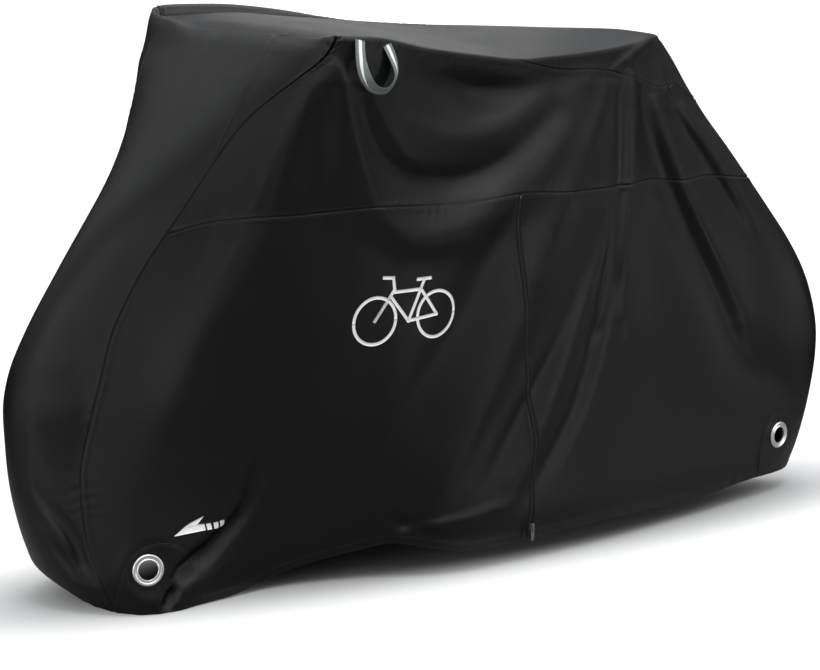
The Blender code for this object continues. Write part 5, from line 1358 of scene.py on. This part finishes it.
line, across, up, out = (rows[-1] for rows in on_zip(np.array([0.7205, 0.7225])))
turns = np.linspace(0, 2 * math.pi, 48, endpoint=False)
round_stop = np.stack([np.sign(np.cos(turns)) * np.abs(np.cos(turns)) ** 0.5 * STOP["half_width"],
                       np.sign(np.sin(turns)) * np.abs(np.sin(turns)) ** 0.5 * STOP["half_height"]], axis=-1)
hoops = []
for grow, away in ((0.9, -0.0006), (1.0, 0.0), (1.0, 0.6), (0.93, 0.86), (0.8, 0.98), (0.5, 1.0), (0.02, 1.0)):
    at = away if away < 0 else away * STOP["out"]
    hoops.append(line + (round_stop[:, :1] * across + round_stop[:, 1:] * up) * grow + at * out)
numbers = np.arange(len(hoops) * 48).reshape(len(hoops), 48)
faces = np.stack([numbers[:-1], np.roll(numbers[:-1], -1, axis=1), np.roll(numbers[1:], -1, axis=1), numbers[1:]], axis=-1)
zip_stop = mesh_object("zip_top_stop", np.concatenate(hoops), faces.reshape(-1, 4))
zip_stop.data.materials.append(zip_coil.data.materials[0])
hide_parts("zip_chain")
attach(zip_stop, "root")

zip_metal = metal_material("zip_metal", (0.30, 0.27, 0.24), 0.36, 0.00004)
for name in ("zip_slider", "zip_pull"):
    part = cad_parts[name]
    part = bpy.data.objects[part] if isinstance(part, str) else part
    part.data.materials.clear()
    part.data.materials.append(zip_metal)
    edges = part.modifiers.new("rounded_edges", "BEVEL")
    edges.width, edges.segments, edges.limit_method = 0.00025, 2, "ANGLE"


# ======================================================== reflective loop
# A loop of smooth grey ribbon with a bright reflective stripe, sewn into the top seam with both ends
# and turned on its edge at the bottom.
LOOP_WIDTH = 0.0200
LOOP_CLOTH = 0.0008
LOOP_LINE = (  # share of its length, x, height, distance off the side, how far it tilts (degrees)
    (0.00, -0.3811, 1.0293, 0.0008, 0),
    (0.11, -0.3837, 1.0094, 0.0070, 0),
    (0.22, -0.3834, 0.9893, 0.0120, 8),
    (0.31, -0.3790, 0.9727, 0.0150, 28),
    (0.41, -0.3710, 0.9580, 0.0170, 46),
    (0.51, -0.3573, 0.9461, 0.0180, 54),
    (0.61, -0.3390, 0.9414, 0.0180, 55),
    (0.69, -0.3247, 0.9440, 0.0180, 46),
    (0.77, -0.3129, 0.9581, 0.0170, 38),
    (0.85, -0.3081, 0.9763, 0.0140, 22),
    (0.92, -0.3118, 0.9965, 0.0080, 8),
    (1.00, -0.3210, 1.0198, 0.0008, 0),
)
STRIPE = {"half_width": 0.0032, "soft": 0.12, "fades": (0.16, 0.40), "returns": (0.74, 0.88), "aside": 0.0050}
LOOP_GREY, LOOP_BRIGHT = (0.165, 0.185, 0.18), (0.92, 0.95, 0.95)

t = np.linspace(0, 1, 131)
x, height, away, tilt = (through(LOOP_LINE, t, column) for column in (1, 2, 3, 4))
tilt = np.radians(tilt)[:, None]
base = on_skirt(np.stack([x, height], axis=-1), LEFT)
middle = base - np.stack([0 * t, away, 0 * t], axis=-1)
ahead = on_skirt(np.stack([x + 0.005, height], axis=-1), LEFT)
level = (ahead - base) / np.linalg.norm(ahead - base, axis=-1, keepdims=True)
out = np.cross(level, (0.0, 0.0, 1.0))
run = np.gradient(middle, axis=0)
run = run / np.linalg.norm(run, axis=-1, keepdims=True)
wide = np.cos(tilt) * np.cross(out, run) + np.sin(tilt) * out
wide = wide - (wide * run).sum(axis=-1, keepdims=True) * run
wide = wide / np.linalg.norm(wide, axis=-1, keepdims=True)
thick = np.cross(run, wide)
places = np.linspace(-1, 1, 15)
edge_bead = 1 + 0.35 * np.exp(-((np.abs(places) - 0.86) / 0.09) ** 2)
spread = middle[:, None] + wide[:, None] * (places * LOOP_WIDTH / 2)[None, :, None]
half = thick[:, None] * (edge_bead * LOOP_CLOTH / 2)[None, :, None]
lengths = np.concatenate([[0], np.cumsum(np.linalg.norm(np.diff(middle, axis=0), axis=1))])
flat = np.stack([(places * LOOP_WIDTH / 2)[None] + 0 * t[:, None], lengths[:, None] + 0 * places[None]], axis=-1)
loop = cloth_object("reflective_loop_ribbon", (spread + half)[:, ::-1], inner=(spread - half)[:, ::-1], flat=flat[:, ::-1])

ribbon = bpy.data.materials.new("loop_ribbon")
ribbon.use_nodes = True
tree = ribbon.node_tree
shader = tree.nodes["Principled BSDF"]
parts = node(tree, "ShaderNodeSeparateXYZ", i0=node(tree, "ShaderNodeUVMap", {"uv_map": "cloth"}).outputs[0])
masks = []
for (start, end), before, after in ((STRIPE["fades"], 0.0, 1.0), (STRIPE["returns"], 0.0, -1.0)):
    masks.append(node(tree, "ShaderNodeMapRange", i0=parts.outputs["Y"], i1=start * lengths[-1], i2=end * lengths[-1],
                      i3=before, i4=after).outputs[0])
hidden = sum_of(tree, "ADD", masks[0], masks[1])
shift = node(tree, "ShaderNodeMath", {"operation": "MULTIPLY"}, i0=hidden, i1=STRIPE["aside"]).outputs[0]
from_middle = node(tree, "ShaderNodeMath", {"operation": "ABSOLUTE"}, i0=sum_of(tree, "ADD", parts.outputs["X"], shift))
share = node(tree, "ShaderNodeMath", {"operation": "DIVIDE"}, i0=from_middle.outputs[0], i1=STRIPE["half_width"])
narrowed = sum_of(tree, "ADD", share.outputs[0], hidden)
bright = node(tree, "ShaderNodeMapRange", i0=narrowed, i1=1.0, i2=1.0 + STRIPE["soft"], i3=1.0, i4=0.0).outputs[0]
woven = tree.nodes.new("ShaderNodeGroup")
woven.node_tree = weave
woven.inputs["Threads per metre"].default_value = 2400.0
grey = node(tree, "ShaderNodeMix", {"data_type": "RGBA"}, i0=woven.outputs["Tint"],
            i6=(*[channel * 0.8 for channel in LOOP_GREY], 1.0), i7=(*[channel * 1.2 for channel in LOOP_GREY], 1.0))
colour = node(tree, "ShaderNodeMix", {"data_type": "RGBA"}, i0=bright, i6=grey.outputs[2], i7=(*LOOP_BRIGHT, 1.0))
tree.links.new(colour.outputs[2], shader.inputs["Base Color"])
tree.links.new(node(tree, "ShaderNodeMapRange", i0=bright, i3=0.62, i4=0.36).outputs[0], shader.inputs["Roughness"])
tree.links.new(node(tree, "ShaderNodeBump", Distance=0.00008, Strength=1.0, Height=woven.outputs["Height"]).outputs[0],
               shader.inputs["Normal"])
loop.data.materials.append(ribbon)
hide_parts("reflective_loop")
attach(loop, "root")


# ======================================================== printed marks
# White marks printed on the left side: an arrow over the front eyelet that shows which end is the
# front, and a plain sign of a bicycle on the middle of the panel.
INK = {"proud": 0.0004, "thickness": 0.0003, "step": 0.003}
ARROW_HEAD = (((-0.6599, 0.1410), (-0.6360, 0.1575), (-0.6190, 0.1650), (-0.6020, 0.1709)),
              ((-0.6599, 0.1410), (-0.6400, 0.1424), (-0.6240, 0.1500), (-0.6130, 0.1585)))
ARROW_BODY = (((-0.6450, 0.1500), (-0.6280, 0.1560), (-0.6130, 0.1572), (-0.6005, 0.1565)),
              ((-0.6599, 0.1410), (-0.6400, 0.1420), (-0.6190, 0.1430), (-0.5980, 0.1440)))
DASHES = (
    ((-0.5974, 0.1565), (-0.5880, 0.1564), (-0.5852, 0.1440), (-0.5946, 0.1440)),
    ((-0.5832, 0.1564), (-0.5740, 0.1567), (-0.5712, 0.1444), (-0.5802, 0.1438)),
    ((-0.5704, 0.1580), (-0.5612, 0.1588), (-0.5584, 0.1466), (-0.5672, 0.1450)),
)
SIGN = {"x": -0.235, "height": 0.540, "line": 0.0062}
WHEEL = 0.044
SIGN_STROKES = (  # places from the sign's middle; each stroke is a line of one width
    ((-0.068, -0.020), (-0.030, 0.036)),
    ((-0.030, 0.036), (-0.034, 0.058)),
    ((-0.034, 0.058), (-0.054, 0.060)),
    ((-0.068, -0.020), (-0.041, 0.020)),
    ((-0.033, 0.031), (0.030, 0.031)),
    ((-0.036, 0.022), (0.004, -0.026)),
    ((0.004, -0.026), (0.036, 0.048)),
    ((0.004, -0.026), (0.068, -0.020)),
    ((0.030, 0.031), (0.068, -0.020)),
    ((0.022, 0.050), (0.050, 0.050)),
)

ink_points, ink_faces = [], []


def printed(grid):
    """A grid of (x, height) places as a thin layer of ink on the left side."""
    grid = np.asarray(grid, dtype=float)
    out = way_out(grid, LEFT)
    outer = on_skirt(grid, LEFT) + out * INK["proud"]
    inner = outer - out * INK["thickness"]
    rows, columns = grid.shape[:2]
    start = sum(len(block) for block in ink_points)
    numbers = np.arange(rows * columns).reshape(rows, columns) + start
    back = numbers + rows * columns
    faces = [np.stack([numbers[:-1, :-1], numbers[:-1, 1:], numbers[1:, 1:], numbers[1:, :-1]], axis=-1).reshape(-1, 4)]
    faces.append(faces[0][:, ::-1] + rows * columns)
    for line, behind in (
        (numbers[0, ::-1], back[0, ::-1]),
        (numbers[-1], back[-1]),
        (numbers[:, 0], back[:, 0]),
        (numbers[::-1, -1], back[::-1, -1]),
    ):
        faces.append(np.stack([line[:-1], line[1:], behind[1:], behind[:-1]], axis=-1)[:, ::-1])
    faces = np.concatenate(faces)
    step_x, step_up = grid[0, -1] - grid[0, 0], grid[-1, 0] - grid[0, 0]
    if step_x[0] * step_up[1] - step_x[1] * step_up[0] < 0:
        faces = faces[:, ::-1]
    ink_points.append(np.concatenate([outer.reshape(-1, 3), inner.reshape(-1, 3)]))
    ink_faces.append(faces)


def between(low, high, across=14, up=5):
    """A grid between two soft lines of places."""
    t = np.linspace(0, 1, across)
    lines = []
    for places in (low, high):
        rows = [(i / (len(places) - 1), *place) for i, place in enumerate(places)]
        lines.append(np.stack([through(rows, t, 1), through(rows, t, 2)], axis=-1))
    s = np.linspace(0, 1, up)[:, None, None]
    return lines[0][None] * (1 - s) + lines[1][None] * s


def ink_object(name):
    """The printed layers gathered so far as one piece."""
    piece = mesh_object(name, np.concatenate(ink_points), np.concatenate(ink_faces))
    ink_points.clear()
    ink_faces.clear()
    piece.data.materials.append(white_ink)
    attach(piece, "root")


white_ink = bpy.data.materials.new("white_ink")
white_ink.use_nodes = True
tree = white_ink.node_tree
shader = tree.nodes["Principled BSDF"]
where = node(tree, "ShaderNodeTexCoord").outputs["Object"]
thin = node(tree, "ShaderNodeTexNoise", Vector=where, Scale=700.0, Detail=3.0, Roughness=0.6).outputs[0]
tint = node(tree, "ShaderNodeMix", {"data_type": "RGBA"}, i0=thin, i6=(0.88, 0.88, 0.88, 1.0), i7=(0.98, 0.98, 0.97, 1.0))
tree.links.new(tint.outputs[2], shader.inputs["Base Color"])
tree.links.new(node(tree, "ShaderNodeMapRange", i0=thin, i1=0.3, i2=0.7, i3=0.44, i4=0.58).outputs[0],
               shader.inputs["Roughness"])
tree.links.new(node(tree, "ShaderNodeBump", Distance=0.00003, Strength=1.0, Height=thin).outputs[0], shader.inputs["Normal"])

printed(between(ARROW_HEAD[1], ARROW_HEAD[0]))
printed(between(ARROW_BODY[1], ARROW_BODY[0]))
for top_left, top_right, low_right, low_left in DASHES:
    printed(between((low_left, low_right), (top_left, top_right), 5, 6))
ink_object("front_arrow_print")

middle = np.array([SIGN["x"], SIGN["height"]])
for start, end in SIGN_STROKES:
    start, end = np.array(start), np.array(end)
    run = (end - start) / np.linalg.norm(end - start)
    aside = np.array([-run[1], run[0]]) * SIGN["line"] / 2
    start, end = middle + start - run * SIGN["line"] / 2, middle + end + run * SIGN["line"] / 2
    count = max(int(np.linalg.norm(end - start) / INK["step"]), 3)
    printed(between((start - aside, end - aside), (start + aside, end + aside), count, 4))
for wheel_x in (-0.068, 0.068):
    turns = np.linspace(0, 2 * math.pi, 73)
    rims = []
    for radius in (WHEEL + SIGN["line"] / 2, WHEEL + SIGN["line"] / 6, WHEEL - SIGN["line"] / 6, WHEEL - SIGN["line"] / 2):
        rims.append(middle + np.stack([wheel_x + radius * np.cos(turns), -0.020 + radius * np.sin(turns)], axis=-1))
    half = len(turns) // 2 + 1
    for span in (slice(0, half), slice(half - 1, len(turns))):
        grid = np.array(rims)[:, span]
        printed(grid[::-1])
ink_object("bicycle_sign_print")


# ======================================================== stitching
# Every seam, hem and patch is sewn with black lockstitch. Each stitch is a short bead of thread that
# lies on the cloth and dips into it at both ends.
STITCH = {"pitch": 0.0050, "length": 0.0036, "thread": 0.00028, "sunk": 0.0001, "around": 4}
THREAD_PIECES = 3

thread_nylon = moulded_material("thread", (0.012, 0.012, 0.013), 0.42)
rim = np.linspace(0, 2 * math.pi, STITCH["around"], endpoint=False)
beads = []
for line, out in stitch_lines:
    steps = np.linalg.norm(np.diff(line, axis=0), axis=1)
    places = np.concatenate([[0], np.cumsum(steps)])
    at = np.arange(STITCH["pitch"] / 2, places[-1] - STITCH["length"], STITCH["pitch"])
    if len(at) == 0:
        continue

    def on_line(lengths, rows):
        return np.stack([np.interp(lengths, places, rows[:, i]) for i in range(3)], axis=-1)

    ends = [on_line(at, line), on_line(at + STITCH["length"], line)]
    upwards = on_line(at + STITCH["length"] / 2, out)
    run = ends[1] - ends[0]
    run = run / np.maximum(np.linalg.norm(run, axis=-1, keepdims=True), 1e-9)
    aside = np.cross(run, upwards)
    aside = aside / np.maximum(np.linalg.norm(aside, axis=-1, keepdims=True), 1e-9)
    rings = []
    for share, size, rise in ((0.0, 0.35, -0.6), (0.18, 1.0, 0.6), (0.5, 1.05, 0.9), (0.82, 1.0, 0.6), (1.0, 0.35, -0.6)):
        centre = ends[0] * (1 - share) + ends[1] * share + upwards * (rise * STITCH["thread"] - STITCH["sunk"])
        round_it = np.cos(rim)[:, None] * aside[:, None] + np.sin(rim)[:, None] * upwards[:, None]
        rings.append(centre[:, None] + round_it * STITCH["thread"] * size)
    beads.append(np.stack(rings, axis=1))
beads = np.concatenate(beads)
numbers = np.arange(5 * STITCH["around"]).reshape(5, STITCH["around"])
one = np.stack([numbers[:-1], np.roll(numbers[:-1], -1, axis=1), np.roll(numbers[1:], -1, axis=1), numbers[1:]],
               axis=-1).reshape(-1, 4)
one = np.concatenate([one, [numbers[0, ::-1], numbers[-1]]])
for i, block in enumerate(np.array_split(beads, THREAD_PIECES)):
    start = np.arange(len(block)) * 5 * STITCH["around"]
    thread = mesh_object(f"stitching_{i + 1}", block.reshape(-1, 3), (one[None] + start[:, None, None]).reshape(-1, 4))
    thread.data.materials.append(thread_nylon)
    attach(thread, "root")
